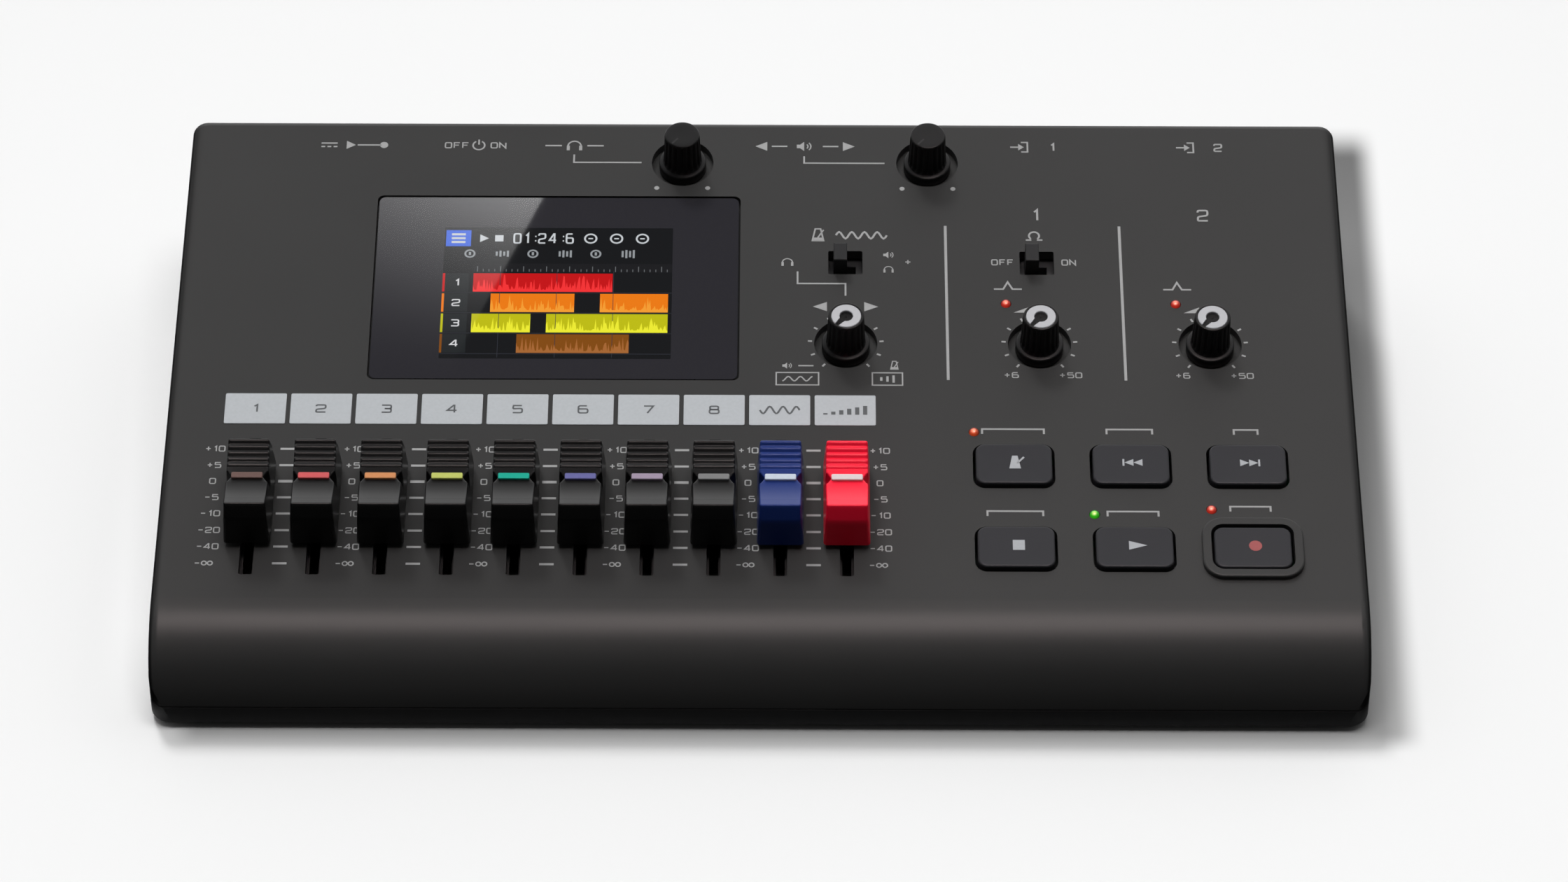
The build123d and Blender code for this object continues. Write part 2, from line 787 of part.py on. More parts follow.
# Faders
def fader_frame():
    """Open-topped channel that the carriage runs in, seen from its own centre."""
    depth = fader_frame_depth
    frame = block(fader_frame_width, fader_frame_length, depth)
    inner_width = fader_frame_width - 2 * fader_frame_wall
    inner_length = fader_frame_length - 2 * fader_frame_wall
    frame -= Pos(0, 0, fader_frame_wall) * block(inner_width, inner_length, depth - 2 * fader_frame_wall)
    slot_run = fader_travel + lever_width + 2 * carriage_clearance
    return frame - Pos(0, 0, depth / 2) * block(fader_frame_slot, slot_run, depth)


def fader_frames():
    """The ten channels side by side on the control board."""
    lift = -control_board_depth + seat_gap
    return Compound(children=[on_panel(u, fader_mid_v, lift) * fader_frame() for u in fader_us])


def fader_lever():
    """Carriage with the flat lever that stands up through the panel."""
    low = -control_board_depth + seat_gap + fader_frame_wall + carriage_clearance
    carriage = Pos(0, 0, low) * block(carriage_width, carriage_length, carriage_height)
    lever = Pos(0, 0, low) * block(lever_thickness, lever_width, lever_reach - low)
    tip = lever.faces().sort_by(Axis.Z)[-1].edges().filter_by(Axis.X)
    lever = chamfer(tip, lever_tip_chamfer)
    return carriage + lever


def cap_profile():
    """Side view of a fader cap: splayed ends, two crests and the saddle between them."""
    foot = cap_foot_length / 2
    shoulder = cap_shoulder_length / 2
    crest = cap_crest_length / 2
    saddle = cap_crest_lift - saddle_depth
    edge = Curve() + [
        Polyline((-crest, cap_crest_lift), (-shoulder, cap_shoulder_lift), (-foot, cap_foot_lift),
                 (foot, cap_foot_lift), (shoulder, cap_shoulder_lift), (crest, cap_crest_lift)),
        ThreePointArc((crest, cap_crest_lift), (0, saddle), (-crest, cap_crest_lift)),
    ]
    face = make_face(edge)
    crests = face.vertices().group_by(Axis.Y)[-1]
    return fillet(crests, crest_radius)


def cap_front():
    """Front view of a fader cap, narrower at the top."""
    foot = cap_foot_width / 2
    crest = cap_crest_width / 2
    return make_face(Polyline((-foot, cap_foot_lift), (foot, cap_foot_lift), (crest, cap_crest_lift),
                              (-crest, cap_crest_lift), close=True))


def saddle_height(v):
    """Height of the saddle arc over the panel at distance v from the middle of the cap."""
    half = cap_crest_length / 2
    radius = (half * half + saddle_depth * saddle_depth) / (2 * saddle_depth)
    return cap_crest_lift - saddle_depth + radius - math.sqrt(radius * radius - v * v)


def fader_cap():
    """Fader cap round its own centre, standing over the panel."""
    side = extrude(Plane.YZ * cap_profile(), cap_foot_width, both=True)
    front = extrude(Plane.XZ * cap_front(), cap_foot_length, both=True)
    cap = side & front
    uprights = [e for e in cap.edges() if e.bounding_box().size.Z > cap_corner_radius * 3
                and e.bounding_box().size.X < cap_foot_width / 2]
    cap = fillet(uprights, cap_corner_radius)
    for hand in (-1, 1):
        tip = hand * (cap_crest_width / 2 - waist_depth)
        out = hand * cap_foot_width
        flare = waist_length / 2 * (cap_foot_width - cap_crest_width / 2 + waist_depth) / waist_depth
        notch = make_face(Polyline((tip, 0), (out, flare), (out, -flare), close=True))
        cap -= Pos(0, 0, cap_shoulder_lift - saddle_depth) * extrude(notch, cap_crest_lift)
    for k in range(rib_count):
        v = rib_start + rib_pitch * k
        groove = Box(cap_foot_width, rib_groove_width, 2 * rib_groove_depth)
        cap -= Pos(0, v, saddle_height(v)) * groove
    hollow_width = cap_crest_width - 2 * cap_wall
    hollow_length = cap_crest_length - 2 * cap_wall
    hollow = Pos(0, 0, cap_foot_lift) * block(hollow_width, hollow_length, cap_hollow_height)
    hollow -= Pos(0, 0, cap_foot_lift) * block(cap_boss_width, cap_boss_length, cap_hollow_height)
    cap -= hollow
    socket_width = lever_thickness + 2 * lever_socket_clearance
    socket_length = lever_width + 2 * lever_socket_clearance
    cap -= block(socket_width, socket_length, lever_reach + lever_socket_clearance)
    return cap


# Knobs
def pointer_slot(length, width):
    """Straight bar from the axis towards the knob's rest position."""
    bar = Pos(0, length / 2) * Rectangle(width, length)
    return Rot(0, 0, knob_rest_angle) * bar


def knob_core():
    """Skirted, fluted knob round its own axis, bored for the spindle."""
    barrel_foot_lift = skirt_lift + skirt_chamfer
    outline = Polyline(
        (0, -skirt_sink), (skirt_radius, -skirt_sink), (skirt_radius, skirt_lift),
        (skirt_radius - skirt_chamfer, barrel_foot_lift), (barrel_foot_radius, barrel_foot_lift),
        (barrel_top_radius, knob_lift - knob_chamfer), (barrel_top_radius - knob_chamfer, knob_lift),
        (0, knob_lift), close=True,
    )
    core = revolve(make_face(Plane.XZ * outline), Axis.Z)
    lean = math.degrees(math.atan2(barrel_foot_radius - barrel_top_radius, knob_lift - skirt_lift))
    middle_radius = (barrel_foot_radius + barrel_top_radius) / 2
    middle_lift = (knob_lift + barrel_foot_lift) / 2
    flute = Cylinder(flute_radius, knob_lift - barrel_foot_lift)
    flute = Location((middle_radius + flute_axis_gap, 0, middle_lift), (0, -lean, 0)) * flute
    flutes = [Rot(0, 0, 360 / flute_count * k) * flute for k in range(flute_count)]
    core -= flutes
    core -= shaft(spindle_radius + spindle_clearance, -skirt_sink - overrun, knob_bore_lift)
    return core


def marked_knob():
    """Volume knob with a moulded pointer line across its top."""
    line = extrude(Pos(0, 0, knob_lift - mark_depth) * pointer_slot(barrel_foot_radius, mark_width), overrun)
    return knob_core() - (line - shaft(mark_start, 0, knob_lift + overrun))


def capped_knob():
    """Knob with a round seat for its pointer cap."""
    seat = shaft(insert_radius + insert_clearance, knob_lift - insert_thickness, knob_lift + overrun)
    return knob_core() - seat


def pointer_cap():
    """Pale disc with an eye and a pointer gap cut through it."""
    face = Circle(insert_radius) - Circle(insert_eye_radius) - pointer_slot(insert_radius * 2, pointer_width)
    return extrude(Pos(0, 0, knob_lift - insert_thickness) * face, insert_thickness)


def spindle():
    """Pot spindle with a flat, from inside the pot to inside the knob."""
    bar = shaft(spindle_radius, -spindle_sink, spindle_lift)
    across = 2 * spindle_radius
    return bar - Pos(0, across - spindle_flat, 0) * block(across, across, spindle_lift)


def pot_body():
    """Pot housing and its bush, standing on the control board."""
    low = -control_board_depth + seat_gap
    body = Pos(0, 0, low) * block(pot_width, pot_length, pot_height)
    bush_top = -well_depth - well_floor - 2 * seat_gap
    body += shaft(pot_bush_radius, low + pot_height / 2, bush_top)
    return body - shaft(spindle_radius + spindle_clearance, -spindle_sink - seat_gap, overrun)


def pot_bodies():
    """The five pots."""
    return Compound(children=[on_panel(u, v) * pot_body() for u, v in knob_places.values()])


# Keys
def key_cap():
    """Key with a flange that stops it under the panel and a post for the contact below."""
    flange_top = -wall - key_flange_gap
    head_height = key_lift - flange_top + key_flange_thickness / 2
    head = Pos(0, 0, key_lift - head_height) * plate(key_width, key_length, key_corner, head_height)
    head = fillet(head.edges().group_by(Axis.Z)[-1], key_edge_radius)
    flange_width = key_width + 2 * (key_gap + key_flange)
    flange_length = key_length + 2 * (key_gap + key_flange)
    flange = plate(flange_width, flange_length, key_corner, key_flange_thickness)
    flange = Pos(0, 0, flange_top - key_flange_thickness) * flange
    post = shaft(key_post_radius, key_travel + key_stop_spare - control_board_depth, flange_top)
    return head + flange + post


def key_mat():
    """Rubber sheet on the board with a collar round each key's post."""
    low = -control_board_depth + seat_gap
    width = 2 * key_pitch_u + 2 * mat_margin
    length = key_row_pitch + 2 * mat_margin
    middle_v = (key_upper_v + key_lower_v) / 2
    mat = on_panel(key_us[1], middle_v, low) * plate(width, length, key_corner, mat_thickness)
    hole_radius = key_post_radius + key_post_clearance
    collar = shaft(hole_radius + mat_collar_wall, low, low + mat_thickness + mat_collar_height)
    mat += [on_panel(u, v) * collar for u, v in key_places.values()]
    for u, v in key_places.values():
        mat -= on_panel(u, v) * shaft(hole_radius, low - overrun, low + overrun)
    for u, v in light_places:
        mat -= on_panel(u, v) * shaft(light_radius + key_post_clearance, low - overrun, low + overrun)
    return mat


# Slide switches
def toggle_body():
    """Housing of a panel slide switch, open on top for the slider's neck."""
    low = -control_board_depth + seat_gap
    body = Pos(0, 0, low) * block(toggle_body_width, toggle_body_length, -toggle_floor_depth - low)
    run = toggle_neck_width + toggle_travel + 2 * toggle_neck_clearance
    sink = toggle_neck_sink + toggle_neck_clearance
    cut = block(run, toggle_neck_length + 2 * toggle_neck_clearance, overrun + sink)
    return body - Pos(0, 0, -toggle_floor_depth - sink) * cut


def toggle_slider():
    """Slider at the left end of its travel: finger block and neck."""
    low = -toggle_floor_depth + 2 * seat_gap
    knob = Pos(0, 0, low) * block(toggle_knob_width, toggle_knob_length, toggle_knob_lift - low)
    knob = fillet(knob.edges().group_by(Axis.Z)[-1], toggle_knob_edge)
    neck_low = -toggle_floor_depth - toggle_neck_sink
    neck_height = low - neck_low + toggle_knob_edge
    neck = Pos(0, 0, neck_low) * block(toggle_neck_width, toggle_neck_length, neck_height)
    return Pos(-toggle_travel / 2, 0, 0) * (knob + neck)


def power_body():
    """Housing of the rear slide switch, open towards the rear wall."""
    rear = rear_inner_y - 2 * seat_gap
    low = main_board_top + seat_gap
    body = box_between((power_x - power_body_width / 2, rear - power_body_depth, low),
                       (power_x + power_body_width / 2, rear, low + power_body_height))
    run = (power_knob_width + power_travel) / 2 + toggle_neck_clearance
    gap = power_knob_height / 2 + toggle_neck_clearance
    return body - box_between((power_x - run, rear - power_body_depth / 2, power_z - gap),
                              (power_x + run, rear_y, power_z + gap))


def power_slider():
    """Slider of the rear switch at the off end, its tip ribbed for a fingernail."""
    rear = rear_y - power_knob_sink
    low = rear_inner_y - 2 * seat_gap - power_body_depth / 2 + toggle_neck_clearance
    x = power_x - power_travel / 2
    knob = box_between((x - power_knob_width / 2, low, power_z - power_knob_height / 2),
                       (x + power_knob_width / 2, rear, power_z + power_knob_height / 2))
    for side in (-1, 0, 1):
        groove = Box(power_rib_width, power_knob_sink * 2, power_knob_height)
        knob -= Pos(x + side * power_rib_pitch, rear, power_z) * groove
    return knob


def switch_bodies():
    """Housings of the two panel switches and the rear power switch."""
    pieces = [on_panel(u, v) * toggle_body() for u, v in toggle_places.values()]
    return Compound(children=pieces + [power_body()])


# Lights and display
def indicator_light():
    """Round light pipe with a domed tip."""
    low = -control_board_depth + seat_gap
    pipe = shaft(light_radius, low, light_lift)
    return fillet(pipe.edges().group_by(Axis.Z)[-1], light_dome_radius)


def indicator_lights():
    """The five light pipes."""
    return Compound(children=[on_panel(u, v) * indicator_light() for u, v in light_places])


def display_window():
    """Clear front of the display, sunk a little into its pocket."""
    gap = 2 * window_gap
    pane = plate(window_width - gap, window_length - gap, window_corner - window_gap, window_thickness)
    return on_panel(window_u, window_v, -window_sink - window_thickness) * pane


def display_module():
    """Display panel behind the window."""
    top = window_sink + window_thickness + window_tape
    module = block(module_width, module_length, module_thickness)
    return on_panel(module_u, module_v, -top - module_thickness) * module


# Sockets
def line_jack(x):
    """Socket for a quarter-inch plug with a round collar in the rear wall."""
    front = rear_inner_y - seat_gap
    body = box_between((x - jack_width / 2, front - jack_depth, jack_z - jack_height / 2),
                       (x + jack_width / 2, front, jack_z + jack_height / 2))
    face = rear_y - socket_sink
    body += rear_shaft(jack_collar_radius, x, jack_z, front - seat_gap, face)
    body -= rear_shaft(jack_bore_radius, x, jack_z, front - jack_bore_depth, rear_y)
    cone = Cone(jack_bore_radius, jack_bore_radius + jack_mouth_chamfer, jack_mouth_chamfer)
    return body - Location((x, face - jack_mouth_chamfer / 2, jack_z), (-90, 0, 0)) * cone


def line_jacks():
    """Phones socket and the two output sockets."""
    return Compound(children=[line_jack(x) for x in jack_xs])


def combo_jack(x):
    """Combination socket: round channel for a three-pin plug, quarter-inch bore in the middle."""
    front = rear_inner_y - seat_gap
    face = rear_y - socket_sink
    body = box_between((x - combo_width / 2, front - combo_depth, combo_z - combo_width / 2),
                       (x + combo_width / 2, front, combo_z + combo_width / 2))
    body += rear_shaft(combo_collar_radius, x, combo_z, front - seat_gap, face)
    insert_face = face - combo_insert_sink
    channel_end = insert_face - combo_channel_depth
    channel = rear_shaft(combo_channel_outer, x, combo_z, channel_end, rear_y)
    body -= channel - rear_shaft(combo_channel_inner, x, combo_z, channel_end, insert_face)
    body -= rear_shaft(jack_bore_radius, x, combo_z, front - jack_bore_depth, rear_y)
    cone = Cone(jack_bore_radius, jack_bore_radius + combo_mouth_chamfer, combo_mouth_chamfer)
    body -= Location((x, insert_face - combo_mouth_chamfer / 2, combo_z), (-90, 0, 0)) * cone
    for k in range(combo_pin_count):
        angle = math.radians(90 + 360 / combo_pin_count * k)
        pin_x = x + combo_pin_circle * math.cos(angle)
        pin_z = combo_z - combo_pin_circle * math.sin(angle)
        body -= rear_shaft(combo_pin_radius, pin_x, pin_z, insert_face - combo_pin_depth, rear_y)
    return body


def combo_jacks():
    """The two combination input sockets."""
    return Compound(children=[combo_jack(x) for x in combo_xs])


def usb_port():
    """Metal shell of the reversible data and power socket, with its tongue."""
    face = rear_y - socket_sink
    port_plane = Plane(origin=(usb_x, face, usb_z), x_dir=(-1, 0, 0), z_dir=(0, 1, 0))
    shell = port_plane * Pos(0, 0, -usb_depth) * extrude(SlotOverall(usb_width, usb_height), usb_depth)
    inner = SlotOverall(usb_width - 2 * usb_shell, usb_height - 2 * usb_shell)
    shell -= port_plane * Pos(0, 0, usb_back - usb_depth) * extrude(inner, usb_depth)
    tongue = extrude(Rectangle(usb_tongue_width, usb_tongue_height), usb_back / 2 + usb_tongue_depth)
    return shell + port_plane * Pos(0, 0, usb_back / 2 - usb_depth) * tongue


def card_socket():
    """Sheet-metal socket for the memory card."""
    right = half_width - wall - card_clearance
    low = main_board_top + seat_gap
    shell = box_between((right - card_socket_length, card_y - card_socket_width / 2, low),
                        (right, card_y + card_socket_width / 2, low + card_socket_height))
    left = half_width - card_sink - card_length - card_clearance
    half_room = card_width / 2 + card_clearance
    half_gap = (card_thickness + card_clearance) / 2
    return shell - box_between((left, card_y - half_room, card_z - half_gap),
                               (half_width, card_y + half_room, card_z + half_gap))


def memory_card():
    """Small memory card, pushed home."""
    right = half_width - card_sink
    card = box_between((right - card_length, card_y - card_width / 2, card_z - card_thickness / 2),
                       (right, card_y + card_width / 2, card_z + card_thickness / 2))
    return card


# Screws and feet
def case_screws():
    """Cross-head screws that hold the covers together."""
    head = shaft(screw_head_radius, 0, screw_head_height)
    drive = block(screw_drive_width, screw_drive_length, screw_drive_depth)
    drive += Rot(0, 0, 90) * drive
    screw = head + shaft(screw_radius, 0, screw_length) - drive
    lift = stand_height + screw_head_clearance / 2
    return Compound(children=[Pos(x, y, lift) * screw for x, y in screw_spots])


def rubber_feet():
    """Round feet let into the underside."""
    foot = shaft(foot_radius, 0, stand_height + foot_recess - seat_gap)
    foot = chamfer(foot.edges().group_by(Axis.Z)[0], foot_edge_radius)
    return Compound(children=[Pos(x, y) * foot for x, y in foot_spots])


def all_parts():
    """Every sub-part by the name of its node."""
    parts = {
        "top_cover": top_cover(),
        "bottom_cover": bottom_cover(),
        "battery_door": battery_door(),
        "battery_cells": battery_cells(),
        "battery_contacts": battery_contacts(),
        "control_board": control_board(),
        "main_board": main_board(),
        "fader_frames": fader_frames(),
        "pot_bodies": pot_bodies(),
        "key_mat": key_mat(),
        "switch_bodies": switch_bodies(),
        "indicator_lights": indicator_lights(),
        "display_window": display_window(),
        "display_module": display_module(),
        "line_jacks": line_jacks(),
        "combo_jacks": combo_jacks(),
        "usb_port": usb_port(),
        "card_socket": card_socket(),
        "memory_card": memory_card(),
        "power_slider": power_slider(),
        "case_screws": case_screws(),
        "rubber_feet": rubber_feet(),
    }
    cap = fader_cap()
    lever = fader_lever()
    for name, u in zip(fader_names, fader_us):
        parts["fader_cap_" + name] = on_panel(u, fader_mid_v) * cap
        parts["fader_lever_" + name] = on_panel(u, fader_mid_v) * lever
    marked = Compound(children=[marked_knob(), spindle()])
    capped = Compound(children=[capped_knob(), spindle()])
    disc = pointer_cap()
    for name, (u, v) in knob_places.items():
        parts[name] = on_panel(u, v) * (capped if name in pointer_capped else marked)
    for name in pointer_capped:
        parts[name.replace("knob", "knob_cap")] = on_panel(*knob_places[name]) * disc
    key = key_cap()
    for name, (u, v) in key_places.items():
        parts[name] = on_panel(u, v) * key
    slider = toggle_slider()
    for name, (u, v) in toggle_places.items():
        parts[name] = on_panel(u, v) * slider
    return parts


def main():
    os.makedirs("parts", exist_ok=True)
    for name, part in all_parts().items():
        export_step(part, "parts/" + name + ".step")


if __name__ == "__main__":
    main()
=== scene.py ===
"""Looks of the desktop recorder: its finishes, prints, display picture, caps, knobs and keys, and the set.

Printed and moulded details are placed in millimetres on the sloping panel: u runs to the right, v up the
slope from its front crest and w straight out of it."""

import json
import math

import bmesh
import bpy
import numpy as np
from mathutils import Matrix, Vector


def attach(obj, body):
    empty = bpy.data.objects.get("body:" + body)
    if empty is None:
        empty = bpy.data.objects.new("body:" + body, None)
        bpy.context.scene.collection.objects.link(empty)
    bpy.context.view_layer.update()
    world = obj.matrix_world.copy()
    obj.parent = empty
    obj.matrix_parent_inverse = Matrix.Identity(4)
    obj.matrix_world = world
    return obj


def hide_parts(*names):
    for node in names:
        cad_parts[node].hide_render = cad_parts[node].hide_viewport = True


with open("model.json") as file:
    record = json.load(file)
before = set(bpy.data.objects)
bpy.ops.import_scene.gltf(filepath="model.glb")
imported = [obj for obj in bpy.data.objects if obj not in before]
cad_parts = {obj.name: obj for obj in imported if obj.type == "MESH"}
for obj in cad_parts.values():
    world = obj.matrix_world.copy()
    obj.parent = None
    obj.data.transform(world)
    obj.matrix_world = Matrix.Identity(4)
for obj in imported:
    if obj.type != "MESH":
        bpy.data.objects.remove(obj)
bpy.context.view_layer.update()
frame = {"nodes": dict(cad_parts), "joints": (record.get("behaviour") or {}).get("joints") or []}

MM = 0.001
TINT = "tint"
WHITE = (1.0, 1.0, 1.0)
BLACK = (0.0, 0.0, 0.0)
SIDES = (-1, 1)

# Panel rows and columns, in millimetres
KNOB_ROW_V = 68.6
VOLUME_ROW_V = 120.1
SOCKET_ROW_V = 125.0
LABEL_V = 50.1
FADER_MID_V = 24.0
FADER_PITCH = 13.8
FADER_COUNT = 10
MASTER_FADER_U = 18.1
FIRST_FADER_U = MASTER_FADER_U - FADER_PITCH * (FADER_COUNT - 1)
KEY_US = (53.2, 77.7, 102.2)
KEY_VS = (35.2, 13.2)
GAIN_US = (59.4, 95.8)
BALANCE_U = 18.1
PHONES_U = -17.4
OUTPUT_U = 36.1

joints = {joint["name"]: joint for joint in frame["joints"]}
across = np.array((1.0, 0.0, 0.0))
slope = np.array(joints["fader_1_slide"]["axis"])
slope = slope / np.linalg.norm(slope)
outward = np.cross(across, slope)
knob_place = np.array(joints["knob_balance_turn"]["pos_m"])
crest = knob_place - (BALANCE_U * across + KNOB_ROW_V * slope) * MM


def on_panel(points, u=0.0, v=0.0):
    """World places of points (x, y, z) in millimetres round a spot (u, v) of the panel, z being w."""
    local = np.asarray(points, float) + np.array((u, v, 0.0))
    return crest + (local[..., 0:1] * across + local[..., 1:2] * slope + local[..., 2:3] * outward) * MM


# Shader maths
class Field:
    """A number that varies over a surface. Sums and products of fields add Math nodes."""

    def __init__(self, finish, socket):
        self.finish = finish
        self.socket = socket

    def __add__(self, other):
        return self.finish.maths("ADD", self, other)

    def __sub__(self, other):
        return self.finish.maths("SUBTRACT", self, other)

    def __rsub__(self, other):
        return self.finish.maths("SUBTRACT", other, self)

    def __mul__(self, other):
        return self.finish.maths("MULTIPLY", self, other)

    def __pow__(self, other):
        return self.finish.maths("POWER", self, other)

    __radd__ = __add__
    __rmul__ = __mul__

    def above(self, edge, blur):
        """0 well below the edge, 1 well above it, blurred by that much each way."""
        return self.finish.maths("DIVIDE", self - (edge - blur), 2 * blur, clamp=True)


class Finish:
    """Nodes of one material, or of the world. add() puts in a node; the other methods are what the finishes
    here share."""

    def __init__(self, name, owners=bpy.data.materials, output="ShaderNodeOutputMaterial"):
        self.owner = owners.new(name)
        self.owner.use_nodes = True
        self.tree = self.owner.node_tree
        self.tree.nodes.clear()
        self.output = self.add(output)
        self.coordinates = self.add("ShaderNodeTexCoord").outputs

    def add(self, kind, settings=None, sockets=None):
        node = self.tree.nodes.new(kind)
        for name, value in (settings or {}).items():
            setattr(node, name, value)
        for name, value in (sockets or {}).items():
            value = getattr(value, "socket", value)
            if isinstance(value, bpy.types.NodeSocket):
                self.tree.links.new(value, node.inputs[name])
            else:
                node.inputs[name].default_value = value
        return node

    def maths(self, operation, first, second, clamp=False):
        settings = {"operation": operation, "use_clamp": clamp}
        return Field(self, self.add("ShaderNodeMath", settings, {0: first, 1: second}).outputs[0])

    def axes(self, space="Object"):
        """x, y and z of a place or, for the world, of a direction."""
        parts = self.add("ShaderNodeSeparateXYZ", None, {0: self.coordinates[space]}).outputs
        return [Field(self, part) for part in parts]

    def noise(self, scale, detail=2.0, stretch=(1.0, 1.0, 1.0)):
        place = self.add("ShaderNodeMapping", None, {"Vector": self.coordinates["Object"], "Scale": stretch})
        sockets = {"Vector": place.outputs[0], "Scale": scale, "Detail": detail}
        return Field(self, self.add("ShaderNodeTexNoise", None, sockets).outputs["Fac"])

    def blend(self, factor, low, high):
        """Colour from low to high by the factor."""
        sockets = {"Factor": factor, 6: (*low, 1.0), 7: (*high, 1.0)}
        return self.add("ShaderNodeMix", {"data_type": "RGBA"}, sockets).outputs[2]

    def tint(self):
        """Colour that the mesh carries."""
        return self.add("ShaderNodeAttribute", {"attribute_name": TINT}).outputs["Color"]

    def bump(self, height, strength, depth):
        sockets = {"Height": height, "Strength": strength, "Distance": depth}
        return self.add("ShaderNodeBump", None, sockets).outputs[0]

    def close(self, shader):
        """Ends the tree with the shader and gives the finished material."""
        self.tree.links.new(shader.outputs[0], self.output.inputs[0])
        return self.owner

    def surface(self, **sockets):
        """Closes the material with a Principled shader whose sockets are given by name."""
        names = [name.replace("_", " ").title().replace("Ior", "IOR") for name in sockets]
        return self.close(self.add("ShaderNodeBsdfPrincipled", None, dict(zip(names, sockets.values()))))


def shade(colour, factor):
    return tuple(min(1.0, channel * factor) for channel in colour)


def grey(level):
    return (level, level, level)


# Painted shade on the rounded rims at the case's sides: distance from the middle in metres, the turn away
# from the eye, and how dark the paint goes there
RIM_PLACE = (0.1233, 0.0006)
WALL_PLACE = (0.12534, 0.00012)
RIM_TURN = (0.30, 0.08)
RIM_SHADE_DEPTH = 0.75

# How deep the grain goes, how far noise moves a finish's gloss, and what share of the pane mirrors
GRAIN_DEPTH = 0.03 * MM
LINE_DEPTH = 0.01 * MM
GLOSS_FLOOR = 0.05
GRAIN_GLOSS = 0.08
CLOUD_GLOSS = 0.04
LINE_GLOSS_FLOOR = 0.06
LINE_GLOSS = 0.14
INK_GLOSS = 0.01
PANE_CLEAR = 0.001
PANE_SMEARED = 0.004


def painted_rim_shade(finish):
    """Painted shade: dark share laid on the rounded side rims where they turn away from the eye, 0
    elsewhere.
    """
    distance = finish.maths("ABSOLUTE", finish.axes()[0], 0.0)
    turn = Field(finish, finish.add("ShaderNodeLayerWeight", None, {"Blend": 0.5}).outputs["Facing"])
    rim = distance.above(*RIM_PLACE) * (1.0 - distance.above(*WALL_PLACE))
    return rim * turn.above(*RIM_TURN) * RIM_SHADE_DEPTH


def moulded_plastic(name, colour, roughness, grain=2200.0, relief=0.12, drift=0.06, specular=0.5,
                    rims=False):
    """Injection-moulded plastic: spark-eroded grain, faint flow clouds and slightly uneven gloss; with rims,
    painted shade darkens the rounded side rims.
    """
    finish = Finish(name)
    clouds = finish.noise(scale=28.0, detail=3.0)
    fine = finish.noise(scale=grain)
    if rims:
        # Painted shade: the tone sinks on the side rims where they turn away from the eye
        level = (clouds * (2 * drift) + (1.0 - drift)) * (1.0 - painted_rim_shade(finish))
        tone = finish.blend(level * 0.5, BLACK, shade(colour, 2.0))
    else:
        tone = finish.blend(clouds, shade(colour, 1.0 - drift), shade(colour, 1.0 + drift))
    return finish.surface(
        base_color=tone,
        roughness=roughness - GLOSS_FLOOR + fine * GRAIN_GLOSS + clouds * CLOUD_GLOSS,
        normal=finish.bump(fine, relief, GRAIN_DEPTH),
        specular_ior_level=specular,
    )


def brushed_metal(name, colour, roughness, direction):
    """Metal with fine lines along one axis."""
    finish = Finish(name)
    stretch = tuple(1.0 if axis == direction else 30.0 for axis in range(3))
    lines = finish.noise(scale=90.0, detail=3.0, stretch=stretch)
    return finish.surface(
        base_color=finish.blend(lines, shade(colour, 0.9), shade(colour, 1.08)),
        metallic=1.0,
        roughness=roughness - LINE_GLOSS_FLOOR + lines * LINE_GLOSS,
        normal=finish.bump(lines, 0.08, LINE_DEPTH),
    )


def ink(name, colour, roughness=0.55, specular=0.15):
    """Screen-printed ink, a little uneven where the mesh laid it down."""
    finish = Finish(name)
    patches = finish.noise(scale=1500.0)
    return finish.surface(
        base_color=finish.blend(patches, shade(colour, 0.92), shade(colour, 1.05)),
        roughness=roughness + patches * INK_GLOSS,
        specular_ior_level=specular,
    )


def circuit_board(name, varnish, copper):
    """Green varnish over copper tracks: narrow bands of a stretched noise show as tracks."""
    finish = Finish(name)
    lengthwise = finish.noise(scale=220.0, detail=1.0, stretch=(1.0, 0.08, 1.0))
    crosswise = finish.noise(scale=220.0, detail=1.0, stretch=(0.08, 1.0, 1.0))
    track = (lengthwise + crosswise * 0.5).above(0.78, 0.01)
    return finish.surface(
        base_color=finish.blend(track, varnish, copper),
        roughness=0.32,
        normal=finish.bump(track, 0.2, GRAIN_DEPTH),
        coat_weight=0.5,
    )


def tinted_glow(name, strength, roughness):
    """Dark gloss that gives off the colour of the mesh."""
    finish = Finish(name)
    return finish.surface(
        base_color=(*grey(0.01), 1.0),
        emission_color=finish.tint(),
        emission_strength=strength,
        roughness=roughness + finish.noise(scale=4000.0, detail=1.0) * INK_GLOSS,
    )


def window_glass(name):
    """Clear pane bonded to the display: see-through, with smears. The print and the picture under it carry
    its gloss."""
    finish = Finish(name)
    smears = finish.noise(scale=60.0, detail=4.0)
    mirror = {"Base Color": (*WHITE, 1.0), "Metallic": 1.0, "Roughness": 0.02}
    pane = finish.add("ShaderNodeBsdfPrincipled", None, mirror)
    clear = finish.add("ShaderNodeBsdfTransparent", None, {"Color": (*WHITE, 1.0)})
    sockets = {0: smears * PANE_SMEARED + PANE_CLEAR, 1: clear.outputs[0], 2: pane.outputs[0]}
    return finish.close(finish.add("ShaderNodeMixShader", None, sockets))


